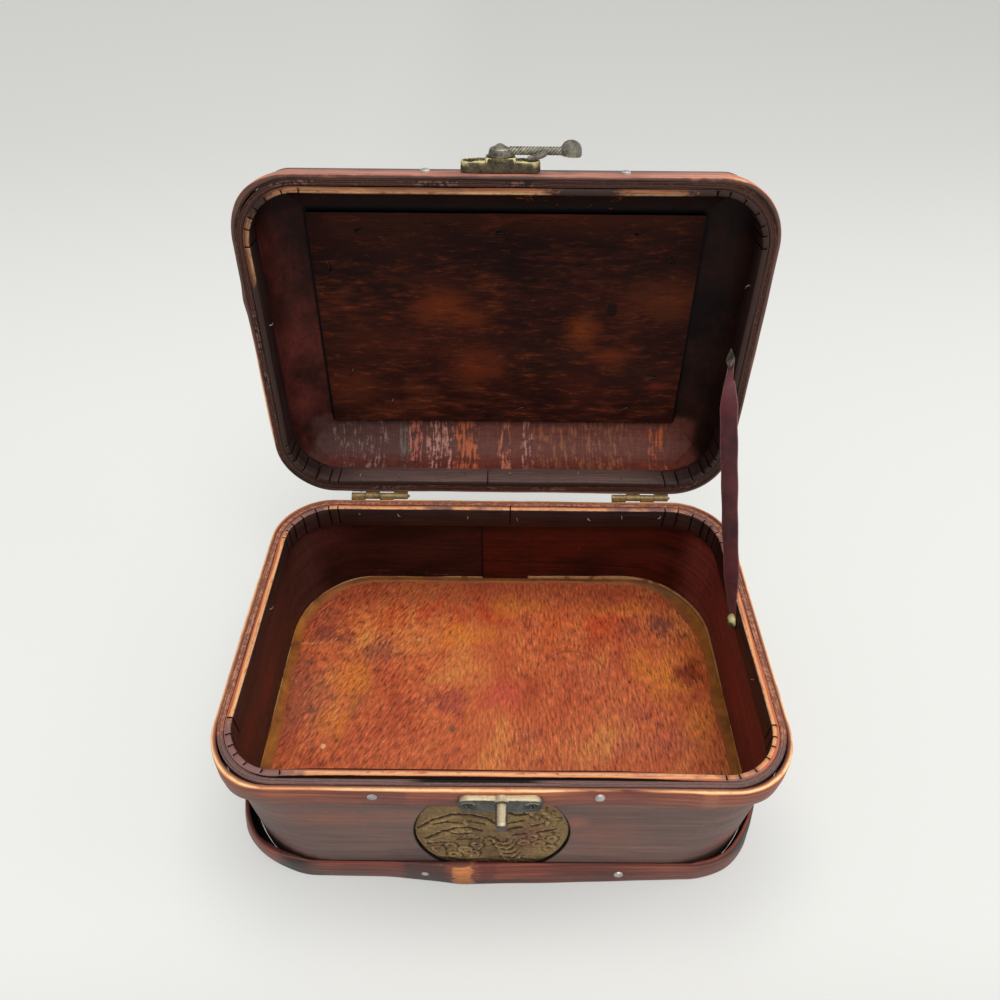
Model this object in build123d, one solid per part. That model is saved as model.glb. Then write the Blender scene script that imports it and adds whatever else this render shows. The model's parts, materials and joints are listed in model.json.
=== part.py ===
"""A bent-ply ditty box with bamboo bands, a coved lid, butt hinges and a hook latch.

Frame: millimetres, +X to the right seen from the front, +Y to the back, +Z up, with the origin
at the centre of the underside. Lid pieces are made closed, over the base, and then swung open
about the hinge line, because the box rests with its lid open on the ribbon stay.
"""
import os
from math import cos, pi, radians, sin

from build123d import *

# ---- driving dimensions (mm, degrees) ----
BAND_WIDTH = 216.0          # outside of the rim bands, left to right
BAND_DEPTH = 148.0          # outside of the rim bands, front to back
BAND_RADIUS = 26.0
BAND_THICKNESS = 2.0
BAND_EDGE = 0.5             # the eased outer edges
CORNER_FLATS = 12           # the leaning ply turns each corner in this many small flats
UPPER_BAND_NODE = (73.8, 6.0, 0.7)   # each bamboo node: across, its width and its swell
LOWER_BAND_NODE = (-16.2, 9.0, 1.1)
LID_BAND_NODE = (-66.0, 6.0, 0.7)
RIM_BAND_HEIGHT = 12.0

BOX_HEIGHT = 70.0           # underside to the base rim
WALL_THICKNESS = 2.2
WALL_TOP = (212.0, 144.0, 26.0)      # width, depth and corner radius outside, at the rim
WALL_BOTTOM = (214.8, 152.4, 41.0)   # the ply springs out to this at the floor
LOWER_BAND_HEIGHT = 15.0
LOWER_BAND_RADIUS = 34.0    # tighter than the ply's corner, so the band stands off there
FLOOR_THICKNESS = 10.0
GLUE_HEIGHT = 2.6
GLUE_WIDTH = 3.2
GLUE_TOP_WIDTH = 0.5
LAP_SPAN = (-10.4, 14.0)    # the ply's overlap at the back, left to right
LAP_THICKNESS = 0.9
LAP_DEPTH = (40.0, 100.0)   # front to back, room enough for the whole back wall

LINER_THICKNESS = 2.6
LINER_HEIGHT = 11.5
KERFS_PER_CORNER = 7
KERF_WIDTH = 0.7
KERF_DEPTH = 1.7
JOINT_GAP = 0.5             # the butt joint that closes each liner at the back
BASE_JOINT_X = 3.4
LID_JOINT_X = -7.9

LID_GAP = 0.4               # between the two rims when the box is closed
LID_OPEN = 96.0             # how far the ribbon lets the lid open
COVE_START = 14.0           # straight wall above the lid rim, before the cove turns in
COVE_RADIUS = 18.8          # inside of the cove
MITRE_REACH = 60.0          # the mitres run past the lid's corners
PANEL_THICKNESS = 2.4
FLANGE_WIDTH = 14.0         # the coved ply runs this far in, between the two panels
TOP_PANEL_INSET = 1.0
TOP_PANEL_THICKNESS = 2.5
TOP_PANEL_EDGE = 1.0
INNER_PANEL_EDGE = 0.4

HINGE_CENTRES = (-60.6, 67.4)
HINGE_LENGTH = 27.6
HINGE_KNUCKLES = 4
BARREL_RADIUS = 1.6
BARREL_SIDES = 16
BARREL_CLEARANCE = 0.35     # round the other leaf's knuckles
KNUCKLE_GAP = 0.1           # at each end of a knuckle
PIN_RADIUS = 0.75
PIN_SIDES = 12
PIN_CLEARANCE = 0.06
PIN_TIP = 0.3
PIN_OVERHANG = 0.9
LEAF_THICKNESS = 0.9
LEAF_HEIGHT = 8.6
LEAF_NAIL_SPREAD = 9.4      # each leaf nail from the hinge's middle
LEAF_NAIL_HEAD_RADIUS = 1.4
LEAF_CLINCH_LENGTH = 2.0
HINGE_Y = BAND_DEPTH / 2 + 2.0
HINGE_Z = BOX_HEIGHT + LID_GAP / 2
HINGE_AXIS = Axis((0, HINGE_Y, HINGE_Z), (1, 0, 0))

NAIL_HEAD_RADIUS = 2.1
NAIL_HEAD_HEIGHT = 0.7
NAIL_HEAD_SIDES = 8
NAIL_WIDTH = 1.2
CLINCH_LENGTH = 2.8
LOWER_NAIL_BITE = 9.0       # into the floor board

MEDALLION_CENTRE = (-3.4, 36.0)      # across and up
MEDALLION_RADIUS = 29.6
MEDALLION_TOP = 60.0        # its hidden top is cut level, behind the rim band
MEDALLION_THICKNESS = 0.85  # at its edge
MEDALLION_RECESS = 0.9
MEDALLION_DOME = 1.1        # how far its middle stands forward of its edge
MEDALLION_RIM = 0.8
MEDALLION_SHOULDER = 16.0   # the slope from its rim up to its middle
MEDALLION_SIDES = 40

PLATE_LENGTH = 30.4         # both latch plates
PLATE_HEIGHT = 8.0
PLATE_CORNER = 3.4
SCREW_SPREAD = 11.4
SCREW_HEAD_RADIUS = 2.6
SCREW_RADIUS = 1.1
SCREW_SHORT = 0.8           # a screw's tip stays this far inside the wood
FASTENER_SIDES = 12
CASTING_SIDES = 20
CATCH_THICKNESS = 2.5
CATCH_EDGE = 0.4
SEAT_RADIUS = 3.0           # the raised seat round the peg
SEAT_RISE = 0.5
CATCH_CENTRE = (-0.4, 63.6)
PEG_CENTRE = (0.0, 65.0)
PEG_RADIUS = 1.85
PEG_LENGTH = 8.0
PEG_TIP = 0.5

LATCH_CENTRE_X = -2.4
LATCH_RISE = 6.0            # latch plate's middle and its pivot above the lid rim
LATCH_THICKNESS = 4.0
LATCH_STEP = 1.0            # the raised middle of the latch plate
LATCH_STEP_LENGTH = 11.6
LATCH_EDGE = 0.5
PIVOT_X = -2.6
HOOK_GAP = 0.3
EYE_RADIUS = 4.6
EYE_TOP_RADIUS = 3.9
EYE_THICKNESS = 2.6
EYE_CLEARANCE = 0.12        # round the rivet
RIVET_RADIUS = 1.5
RIVET_HEAD = ((2.6, 0.0), (2.5, 0.25), (0.8, 1.4))   # radius and height up the low cone
ARM_RADIUS = 1.35
ARM_LENGTH = 25.0
ARM_BITE = 1.2              # the arm starts this far inside the eye
CLAW_OUTER = ((18.2, -0.6), (16.7, -6.4), (11.3, -11.6))    # the claw's two curved edges
CLAW_INNER = ((10.1, -9.9), (13.6, -5.4), (15.2, -0.6))
CLAW_THICKNESS = 2.0
KNOB_REACH = 26.6
KNOB_BELL = ((3.8, 0.0), (4.0, 0.7), (3.8, 2.0), (3.1, 3.5), (1.9, 4.6), (0.9, 4.9))

RIBBON_WIDTH = 9.0
RIBBON_THICKNESS = 0.8
TACK_BASE = (8.0, 61.0)     # back and up, on the right liner
TACK_LID = (5.0, 78.4)      # the same, with the lid closed
TACK_HEAD_RADIUS = 2.6
TACK_HEAD_HEIGHT = 1.6
TACK_WIDTH = 1.0
RIBBON_TAILS = 6.0          # what the ribbon runs past its two tacks, together

RIM_OUTLINE = (BAND_WIDTH, BAND_DEPTH, BAND_RADIUS)
LID_RIM = BOX_HEIGHT + LID_GAP
LINER_OUTSIDE = (
    WALL_TOP[0] - 2 * WALL_THICKNESS,
    WALL_TOP[1] - 2 * WALL_THICKNESS,
    WALL_TOP[2] - WALL_THICKNESS,
)
LINER_FACE_X = LINER_OUTSIDE[0] / 2 - LINER_THICKNESS
PANEL_WIDTH = LINER_OUTSIDE[0] - 2 * COVE_RADIUS
PANEL_DEPTH = LINER_OUTSIDE[1] - 2 * COVE_RADIUS
CEILING = LID_RIM + COVE_START + COVE_RADIUS
RIM_GRIP = BAND_THICKNESS + WALL_THICKNESS + LINER_THICKNESS

# Nail places on the bands: across and up on the front and back, back and up on the sides.
UPPER_FRONT_NAILS = ((-45.7, 65.0), (34.7, 65.4))
UPPER_REAR_NAILS = ((-17.1, 65.0), (6.8, 64.4), (41.7, 64.6))
UPPER_LEFT_NAILS = ((9.9, 64.0),)
UPPER_RIGHT_NAILS = ((-24.0, 64.4),)
LOWER_FRONT_NAILS = ((-29.9, 7.4), (47.4, 7.2))
LOWER_REAR_NAILS = ((-42.0, 7.3), (36.0, 7.6))
LOWER_SIDE_NAILS = ((4.0, 7.4),)
LID_FRONT_NAILS = ((-31.0, 77.0), (45.2, 76.6))
LID_REAR_NAILS = ((-18.7, 76.8), (2.7, 76.2), (36.7, 77.0))
LID_LEFT_NAILS = ((-10.6, 76.4),)
LID_RIGHT_NAILS = ((-30.0, 76.8),)
LEAF_NAIL_RISE = 3.8        # leaf nails from the hinge line
PANEL_NAILS = (
    (-77.6, -26.1), (-72.8, 22.5), (-54.8, 38.9), (9.6, 42.7), (61.4, 42.2),
    (73.1, 25.4), (73.6, -30.7), (56.3, -42.7), (-3.3, -43.0), (-64.2, -43.3),
)

ON_BASE = (Align.CENTER, Align.CENTER, Align.MIN)
HANGING = (Align.CENTER, Align.CENTER, Align.MAX)


# ---- shared shapes ----
def grown(outline, margin):
    """A width, depth and radius outline moved out by `margin` all round."""
    width, depth, radius = outline
    return (width + 2 * margin, depth + 2 * margin, radius + margin)


def prism(outline, bottom, top):
    """A rounded rectangular block between two heights."""
    return Pos(0, 0, bottom) * extrude(RectangleRounded(*outline), top - bottom)


def skinned(rings):
    """A solid with flat faces between rings of points that match one to one."""
    faces = [Face(Wire.make_polygon(rings[0])), Face(Wire.make_polygon(rings[-1]))]
    for lower, upper in zip(rings, rings[1:]):
        for here in range(len(lower)):
            there = (here + 1) % len(lower)
            corners = [lower[here], lower[there], upper[there], upper[here]]
            faces.append(Face(Wire.make_polygon(corners)))
    return Solid(Shell(faces))


def faceted(levels, sides):
    """A turned form in flat facets, from its radius and height at each level."""
    turns = [2 * pi * count / sides for count in range(sides)]
    return skinned([
        [Vector(radius * cos(turn), radius * sin(turn), height) for turn in turns]
        for radius, height in levels
    ])


def corner_ring(outline, height):
    """Points round a rounded rectangle, each corner turned in equal small flats."""
    width, depth, radius = outline
    ring_points = []
    for side_x, side_y, start in ((1, 1, 0), (-1, 1, 90), (-1, -1, 180), (1, -1, 270)):
        for count in range(CORNER_FLATS + 1):
            turn = radians(start + 90 * count / CORNER_FLATS)
            ring_points.append(Vector(
                side_x * (width / 2 - radius) + radius * cos(turn),
                side_y * (depth / 2 - radius) + radius * sin(turn),
                height,
            ))
    return ring_points


def taper(outline_below, outline_above, bottom, top):
    """A block that leans from one rounded rectangle to another."""
    return skinned([corner_ring(outline_below, bottom), corner_ring(outline_above, top)])


def ring(outline, thickness, bottom, top):
    """A rounded rectangular hoop, `outline` being its outside."""
    return prism(outline, bottom, top) - prism(grown(outline, -thickness), bottom, top)


def block(x_span, y_span, z_span):
    """A plain box from its three spans."""
    corner = (x_span[0], y_span[0], z_span[0])
    sizes = (x_span[1] - x_span[0], y_span[1] - y_span[0], z_span[1] - z_span[0])
    return Pos(*corner) * Box(*sizes, align=(Align.MIN, Align.MIN, Align.MIN))


def on_front(x, z, face=BAND_DEPTH / 2):
    """A place on the front face, its own Z pointing out of the box and its Y up."""
    return Plane((x, -face, z), x_dir=(1, 0, 0), z_dir=(0, -1, 0)).location


def on_rear(x, z, face=BAND_DEPTH / 2):
    """A place on the back face, its own Z pointing out of the box."""
    return Plane((x, face, z), x_dir=(1, 0, 0), z_dir=(0, 1, 0)).location


def on_side(y, z, side, face=BAND_WIDTH / 2):
    """A place on the left (side -1) or right (side +1) face, its own Z pointing out."""
    return Plane((side * face, y, z), x_dir=(0, 1, 0), z_dir=(side, 0, 0)).location


def shank(grip, width=NAIL_WIDTH):
    """The square shank of a cut nail or tack, going down from its place."""
    return Box(width, width, grip, align=HANGING)


def nail(grip, clinch=CLINCH_LENGTH, head_radius=NAIL_HEAD_RADIUS):
    """A cut nail with a low faceted head, driven through `grip` of wood, its point bent over."""
    head = faceted([(head_radius, 0), (head_radius * 0.6, NAIL_HEAD_HEIGHT)], NAIL_HEAD_SIDES)
    if clinch == 0:
        return head + shank(grip)
    point = Box(clinch, NAIL_WIDTH, NAIL_WIDTH, align=(Align.MIN, Align.CENTER, Align.MAX))
    return head + shank(grip + NAIL_WIDTH) + Pos(0, 0, -grip) * point


def screw(length):
    """A plain countersunk screw, flush with its place, which is also the room that it takes."""
    neck = SCREW_HEAD_RADIUS - SCREW_RADIUS
    levels = [(SCREW_RADIUS, -length), (SCREW_RADIUS, -neck), (SCREW_HEAD_RADIUS, 0)]
    return faceted(levels, FASTENER_SIDES)


def placed(shape, places):
    """One copy of a shape at each place."""
    return [place * shape for place in places]


def group(shapes):
    """Separate solids kept together as one node."""
    return Compound(children=shapes)


# ---- where the nails go ----
UPPER_NAIL_PLACES = (
    [on_front(x, z) for x, z in UPPER_FRONT_NAILS]
    + [on_rear(x, z) for x, z in UPPER_REAR_NAILS]
    + [on_side(y, z, -1) for y, z in UPPER_LEFT_NAILS]
    + [on_side(y, z, 1) for y, z in UPPER_RIGHT_NAILS]
)
LOWER_BAND_OUTSIDE = (
    WALL_BOTTOM[0] + 2 * BAND_THICKNESS,
    WALL_BOTTOM[1] + 2 * BAND_THICKNESS,
    LOWER_BAND_RADIUS,
)
LOWER_NAIL_PLACES = (
    [on_front(x, z, LOWER_BAND_OUTSIDE[1] / 2) for x, z in LOWER_FRONT_NAILS]
    + [on_rear(x, z, LOWER_BAND_OUTSIDE[1] / 2) for x, z in LOWER_REAR_NAILS]
    + [on_side(y, z, side, LOWER_BAND_OUTSIDE[0] / 2)
       for side in (-1, 1) for y, z in LOWER_SIDE_NAILS]
)
LOWER_NAIL_GRIP = BAND_THICKNESS + WALL_THICKNESS + LOWER_NAIL_BITE
LID_NAIL_PLACES = (
    [on_front(x, z) for x, z in LID_FRONT_NAILS]
    + [on_rear(x, z) for x, z in LID_REAR_NAILS]
    + [on_side(y, z, -1) for y, z in LID_LEFT_NAILS]
    + [on_side(y, z, 1) for y, z in LID_RIGHT_NAILS]
)
LEAF_FACE = BAND_DEPTH / 2 + LEAF_THICKNESS
LEAF_NAIL_XS = [centre + side * LEAF_NAIL_SPREAD for centre in HINGE_CENTRES for side in (-1, 1)]
BASE_LEAF_NAILS = [on_rear(x, HINGE_Z - LEAF_NAIL_RISE, LEAF_FACE) for x in LEAF_NAIL_XS]
LID_LEAF_NAILS = [on_rear(x, HINGE_Z + LEAF_NAIL_RISE, LEAF_FACE) for x in LEAF_NAIL_XS]
PANEL_NAIL_GRIP = TOP_PANEL_THICKNESS + WALL_THICKNESS + PANEL_THICKNESS
LID_TOP = CEILING + WALL_THICKNESS + TOP_PANEL_THICKNESS
PANEL_NAIL_PLACES = [Pos(x, y, LID_TOP) for x, y in PANEL_NAILS]
CATCH_SCREW_PLACES = [
    on_front(CATCH_CENTRE[0] + side * SCREW_SPREAD, CATCH_CENTRE[1],
             BAND_DEPTH / 2 + CATCH_THICKNESS)
    for side in (-1, 1)
]
LATCH_Z = LID_RIM + LATCH_RISE
LATCH_SCREW_PLACES = [
    on_front(LATCH_CENTRE_X + side * SCREW_SPREAD, LATCH_Z, BAND_DEPTH / 2 + LATCH_THICKNESS)
    for side in (-1, 1)
]
CATCH_SCREW_LENGTH = CATCH_THICKNESS + RIM_GRIP - SCREW_SHORT
LATCH_SCREW_LENGTH = LATCH_THICKNESS + RIM_GRIP - SCREW_SHORT

BASE_RIM_BORES = (
    placed(shank(RIM_GRIP), UPPER_NAIL_PLACES)
    + placed(shank(RIM_GRIP + LEAF_THICKNESS), BASE_LEAF_NAILS)
    + placed(screw(CATCH_SCREW_LENGTH), CATCH_SCREW_PLACES)
)
LOWER_BORES = placed(shank(LOWER_NAIL_GRIP), LOWER_NAIL_PLACES)
LID_RIM_BORES = (
    placed(shank(RIM_GRIP), LID_NAIL_PLACES)
    + placed(shank(RIM_GRIP + LEAF_THICKNESS), LID_LEAF_NAILS)
    + placed(screw(LATCH_SCREW_LENGTH), LATCH_SCREW_PLACES)
)
PANEL_BORES = placed(shank(PANEL_NAIL_GRIP), PANEL_NAIL_PLACES)
TACK_BORE = shank(RIBBON_THICKNESS + LINER_THICKNESS, TACK_WIDTH)

# The front wall leans between its two bands, and the medallion lies in that leaning plane.
LEAN_RISE = BOX_HEIGHT - RIM_BAND_HEIGHT - LOWER_BAND_HEIGHT
LEAN = (WALL_BOTTOM[1] - WALL_TOP[1]) / 2 / LEAN_RISE
MEDALLION_Y = -WALL_TOP[1] / 2 - LEAN * (BOX_HEIGHT - RIM_BAND_HEIGHT - MEDALLION_CENTRE[1])
MEDALLION_PLACE = Plane(
    (MEDALLION_CENTRE[0], MEDALLION_Y, MEDALLION_CENTRE[1]), x_dir=(1, 0, 0), z_dir=(0, -1, LEAN)
).location


# ---- base ----
def wall_core(inset):
    """The base's outside form, or its hollow when inset: upright at both bands, leaning between."""
    below = grown(WALL_BOTTOM, -inset)
    above = grown(WALL_TOP, -inset)
    lean_top = BOX_HEIGHT - RIM_BAND_HEIGHT
    leaning = skinned([
        corner_ring(below, 0),
        corner_ring(below, LOWER_BAND_HEIGHT),
        corner_ring(above, lean_top),
    ])
    return leaning + prism(above, lean_top, BOX_HEIGHT)


def below_rim_band():
    """The front half of space, up to where the medallion and its window are cut level."""
    return block((-BAND_WIDTH, BAND_WIDTH), (-BAND_WIDTH, 0), (0, MEDALLION_TOP))


def window():
    """The round hole through the leaning front wall, cut level behind the rim band."""
    reach = 2 * WALL_THICKNESS
    hole = faceted([(MEDALLION_RADIUS, -reach), (MEDALLION_RADIUS, reach)], MEDALLION_SIDES)
    return MEDALLION_PLACE * hole & below_rim_band()


def base_wall():
    """One strip of ply bent into a hoop, lapped at the back, with the medallion's window."""
    hollow = wall_core(WALL_THICKNESS)
    lap_hollow = wall_core(WALL_THICKNESS + LAP_THICKNESS)
    lap_bottom = FLOOR_THICKNESS + GLUE_HEIGHT
    lap_zone = block(LAP_SPAN, LAP_DEPTH, (lap_bottom, BOX_HEIGHT - LINER_HEIGHT))
    wall = wall_core(0) - (hollow - lap_zone) - (lap_hollow & lap_zone)
    return wall - window() - BASE_RIM_BORES - LOWER_BORES


def base_floor():
    """The solid wooden bottom inside the ply hoop."""
    outline = grown(WALL_BOTTOM, -WALL_THICKNESS)
    return taper(outline, outline, 0, FLOOR_THICKNESS) - LOWER_BORES


def floor_glue_bead():
    """The bead of old glue in the corner between floor and wall."""
    outside = grown(WALL_BOTTOM, -WALL_THICKNESS)
    top = FLOOR_THICKNESS + GLUE_HEIGHT
    bead = taper(outside, outside, FLOOR_THICKNESS, top)
    foot, head = grown(outside, -GLUE_WIDTH), grown(outside, -GLUE_TOP_WIDTH)
    hollow = taper(foot, head, FLOOR_THICKNESS, top)
    return bead - hollow


def bamboo_node(place, face, bottom, top):
    """The swelling at a joint of the bamboo, on a front face."""
    x, width, swell = place
    half = width / 2
    crest = half / 3
    outline = Polyline((-half, BAND_EDGE), (-half, 0), (-crest, -swell), (crest, -swell),
                       (half, 0), (half, BAND_EDGE), close=True)
    return Pos(x, -face, bottom) * extrude(make_face(outline), top - bottom)


def bamboo_band(outline, bottom, top, node, bores):
    """A bamboo band with eased outer edges and one node in its front run."""
    band = prism(outline, bottom, top)
    band = chamfer(band.edges().filter_by(Axis.Z, reverse=True), BAND_EDGE)
    band += bamboo_node(node, outline[1] / 2, bottom + BAND_EDGE, top - BAND_EDGE)
    return band - prism(grown(outline, -BAND_THICKNESS), bottom, top) - bores


def base_upper_band():
    bottom = BOX_HEIGHT - RIM_BAND_HEIGHT
    return bamboo_band(RIM_OUTLINE, bottom, BOX_HEIGHT, UPPER_BAND_NODE, BASE_RIM_BORES)


def base_lower_band():
    return bamboo_band(LOWER_BAND_OUTSIDE, 0, LOWER_BAND_HEIGHT, LOWER_BAND_NODE, LOWER_BORES)


def kerfed_liner(bottom, top, joint_x, bores):
    """A thick strip bent round the inside of a rim by saw kerfs, butted at the back."""
    liner = ring(LINER_OUTSIDE, LINER_THICKNESS, bottom, top)
    width, depth, radius = LINER_OUTSIDE
    inner_radius = radius - LINER_THICKNESS
    height = top - bottom
    kerf = Pos(0, 0, -1) * Box(2 * KERF_DEPTH, KERF_WIDTH, height + 2, align=ON_BASE)
    step = 90 / (KERFS_PER_CORNER - 1)
    kerfs = []
    for corner_x, corner_y, start in ((1, 1, 0), (-1, 1, 90), (-1, -1, 180), (1, -1, 270)):
        centre = Pos(corner_x * (width / 2 - radius), corner_y * (depth / 2 - radius), bottom)
        for count in range(KERFS_PER_CORNER):
            kerfs.append(centre * Rot(0, 0, start + count * step) * Pos(inner_radius, 0, 0) * kerf)
    joint = block((joint_x, joint_x + JOINT_GAP), (depth / 4, depth), (bottom - 1, top + 1))
    return liner - kerfs - joint - bores


def base_liner():
    liner = kerfed_liner(BOX_HEIGHT - LINER_HEIGHT, BOX_HEIGHT, BASE_JOINT_X, BASE_RIM_BORES)
    return liner - on_right_liner(*TACK_BASE, RIBBON_THICKNESS) * TACK_BORE


def medallion():
    """The round relief's blank: a disc with sloped shoulders, set a little back in the window."""
    foot = MEDALLION_RADIUS - MEDALLION_RIM
    blank = faceted(
        [(MEDALLION_RADIUS, -MEDALLION_THICKNESS), (MEDALLION_RADIUS, 0), (foot, 0),
         (foot - MEDALLION_SHOULDER, MEDALLION_DOME)],
        MEDALLION_SIDES,
    )
    return MEDALLION_PLACE * Pos(0, 0, -MEDALLION_RECESS) * blank & below_rim_band()


# ---- latch plates and hook ----
def plate_blank(thickness, edge):
    """A latch plate's outline, thickened outwards, with its outer edge eased."""
    plate = extrude(RectangleRounded(PLATE_LENGTH, PLATE_HEIGHT, PLATE_CORNER), thickness)
    return chamfer(plate.faces().sort_by(Axis.Z)[-1].edges(), edge)


def catch_plate():
    """The base half of the latch, with a raised seat round the peg."""
    plate = on_front(*CATCH_CENTRE) * plate_blank(CATCH_THICKNESS, CATCH_EDGE)
    top = CATCH_THICKNESS + SEAT_RISE
    seat = faceted([(SEAT_RADIUS, 0), (SEAT_RADIUS, top)], CASTING_SIDES)
    hole = faceted([(PEG_RADIUS, -1), (PEG_RADIUS, top + 1)], CASTING_SIDES)
    plate += on_front(*PEG_CENTRE) * seat
    plate -= on_front(*PEG_CENTRE) * hole
    return plate - placed(screw(CATCH_SCREW_LENGTH), CATCH_SCREW_PLACES)


def catch_peg():
    """The round peg that the hook's claw goes round, riveted through the catch plate."""
    tip = CATCH_THICKNESS + PEG_LENGTH
    levels = [(PEG_RADIUS, 0), (PEG_RADIUS, tip - PEG_TIP), (PEG_RADIUS - PEG_TIP, tip)]
    return on_front(*PEG_CENTRE) * faceted(levels, CASTING_SIDES)


def latch_plate():
    """The lid half of the latch: a thick casting stepped up at its middle for the pivot."""
    top = LATCH_THICKNESS + LATCH_STEP
    step = Box(LATCH_STEP_LENGTH, PLATE_HEIGHT, top, align=ON_BASE)
    step = chamfer(step.faces().sort_by(Axis.Z)[-1].edges(), LATCH_EDGE)
    plate = plate_blank(LATCH_THICKNESS, LATCH_EDGE) + step
    plate = on_front(LATCH_CENTRE_X, LATCH_Z) * plate
    hole = faceted([(RIVET_RADIUS, -1), (RIVET_RADIUS, top + 1)], FASTENER_SIDES)
    plate -= on_front(PIVOT_X, LATCH_Z) * hole
    return plate - placed(screw(LATCH_SCREW_LENGTH), LATCH_SCREW_PLACES)


def latch_rivet():
    """The pivot rivet, with a low cone for a head."""
    seat = LATCH_THICKNESS + LATCH_STEP
    reach = seat + EYE_THICKNESS + 2 * HOOK_GAP
    head = [(radius, reach + height) for radius, height in RIVET_HEAD]
    levels = [(RIVET_RADIUS, 0), (RIVET_RADIUS, reach), *head]
    return on_front(PIVOT_X, LATCH_Z) * faceted(levels, FASTENER_SIDES)


def latch_hook():
    """The swinging hook: an eye, an arm, a claw that takes the peg, and a bell-shaped knob."""
    eye = faceted([(EYE_RADIUS, 0), (EYE_TOP_RADIUS, EYE_THICKNESS)], CASTING_SIDES)
    start = EYE_TOP_RADIUS - ARM_BITE
    along_x = Plane((start, 0, ARM_RADIUS), z_dir=(1, 0, 0)).location
    arm = along_x * faceted([(ARM_RADIUS, 0), (ARM_RADIUS, ARM_LENGTH - start)], FASTENER_SIDES)
    outer = ThreePointArc(*CLAW_OUTER)
    inner = ThreePointArc(*CLAW_INNER)
    outline = outer + Line(outer @ 1, inner @ 0) + inner + Line(inner @ 1, outer @ 0)
    claw = Pos(0, 0, ARM_RADIUS - CLAW_THICKNESS / 2) * extrude(make_face(outline), CLAW_THICKNESS)
    knob = Pos(KNOB_REACH, 0, 0) * faceted(KNOB_BELL, CASTING_SIDES)
    hole_radius = (RIVET_RADIUS + EYE_CLEARANCE) / cos(pi / FASTENER_SIDES)
    hole = faceted([(hole_radius, -1), (hole_radius, EYE_THICKNESS + 1)], FASTENER_SIDES)
    return eye + arm + claw + knob - hole


def hook_in_place():
    """The hook on its pivot, pointing right as it does with the box open."""
    seat = BAND_DEPTH / 2 + LATCH_THICKNESS + LATCH_STEP + HOOK_GAP
    return on_front(PIVOT_X, LATCH_Z, seat) * latch_hook()


# ---- hinges ----
def on_hinge_line(x):
    """A place on the hinge line, its own Z pointing right."""
    return Plane((x, HINGE_Y, HINGE_Z), z_dir=(1, 0, 0)).location


def hinge_leaf(centre, lid_side):
    """One leaf with its own two knuckles, notched clear of the other leaf's."""
    direction = 1 if lid_side else -1
    pitch = HINGE_LENGTH / HINGE_KNUCKLES
    left = centre - HINGE_LENGTH / 2
    clear = BARREL_RADIUS + BARREL_CLEARANCE
    plate_z = sorted((HINGE_Z, HINGE_Z + direction * LEAF_HEIGHT))
    notch_z = sorted((HINGE_Z - direction * clear, HINGE_Z + direction * clear))
    leaf_y = (BAND_DEPTH / 2, LEAF_FACE)
    leaf = block((left, left + HINGE_LENGTH), leaf_y, plate_z)
    for knuckle in range(HINGE_KNUCKLES):
        start = left + knuckle * pitch
        if (knuckle % 2 == 1) == lid_side:
            length = pitch - 2 * KNUCKLE_GAP
            knuckle_form = faceted([(BARREL_RADIUS, 0), (BARREL_RADIUS, length)], BARREL_SIDES)
            leaf += on_hinge_line(start + KNUCKLE_GAP) * knuckle_form
        else:
            notch_x = (start - KNUCKLE_GAP, start + pitch + KNUCKLE_GAP)
            leaf -= block(notch_x, (leaf_y[0] - 1, leaf_y[1] + 1), notch_z)
    bore_radius = (PIN_RADIUS + PIN_CLEARANCE) / cos(pi / PIN_SIDES)
    bore = faceted([(bore_radius, 0), (bore_radius, HINGE_LENGTH + 2)], PIN_SIDES)
    leaf -= on_hinge_line(left - 1) * bore
    nails = LID_LEAF_NAILS if lid_side else BASE_LEAF_NAILS
    return leaf - placed(shank(RIM_GRIP), nails)


def hinge_pin(centre):
    """The pin, its rounded tip standing out at the right."""
    tip = HINGE_LENGTH + PIN_OVERHANG
    levels = [(PIN_RADIUS, 0), (PIN_RADIUS, tip - PIN_TIP), (PIN_RADIUS - PIN_TIP, tip)]
    return on_hinge_line(centre - HINGE_LENGTH / 2) * faceted(levels, PIN_SIDES)


def leaf_nails(places):
    pattern = nail(RIM_GRIP + LEAF_THICKNESS, LEAF_CLINCH_LENGTH, LEAF_NAIL_HEAD_RADIUS)
    return group(placed(pattern, places))


# ---- lid ----
def cove_profile(span, inset):
    """Half-round shouldered section of the lid across one direction, `span` wide outside."""
    half = span / 2 - inset
    radius = COVE_RADIUS + WALL_THICKNESS - inset
    spring = LID_RIM + COVE_START
    top = spring + radius
    side = Polyline((-half, spring), (-half, LID_RIM), (half, LID_RIM), (half, spring))
    shoulder = RadiusArc((half, spring), (half - radius, top), -radius)
    other_shoulder = RadiusArc((radius - half, top), (-half, spring), -radius)
    crown = Line((half - radius, top), (radius - half, top))
    return make_face(side + shoulder + crown + other_shoulder)


def lid_form(inset):
    """The lid's outside form, or its hollow when inset: two shouldered prisms that cross."""
    width, depth, _ = WALL_TOP
    along_y = extrude(Plane.XZ * cove_profile(width, inset), depth, both=True)
    along_x = extrude(Plane.YZ * cove_profile(depth, inset), width, both=True)
    rim = prism(grown(WALL_TOP, -inset), LID_RIM, LID_RIM + COVE_START + 2 * COVE_RADIUS)
    return along_y & along_x & rim


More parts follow.
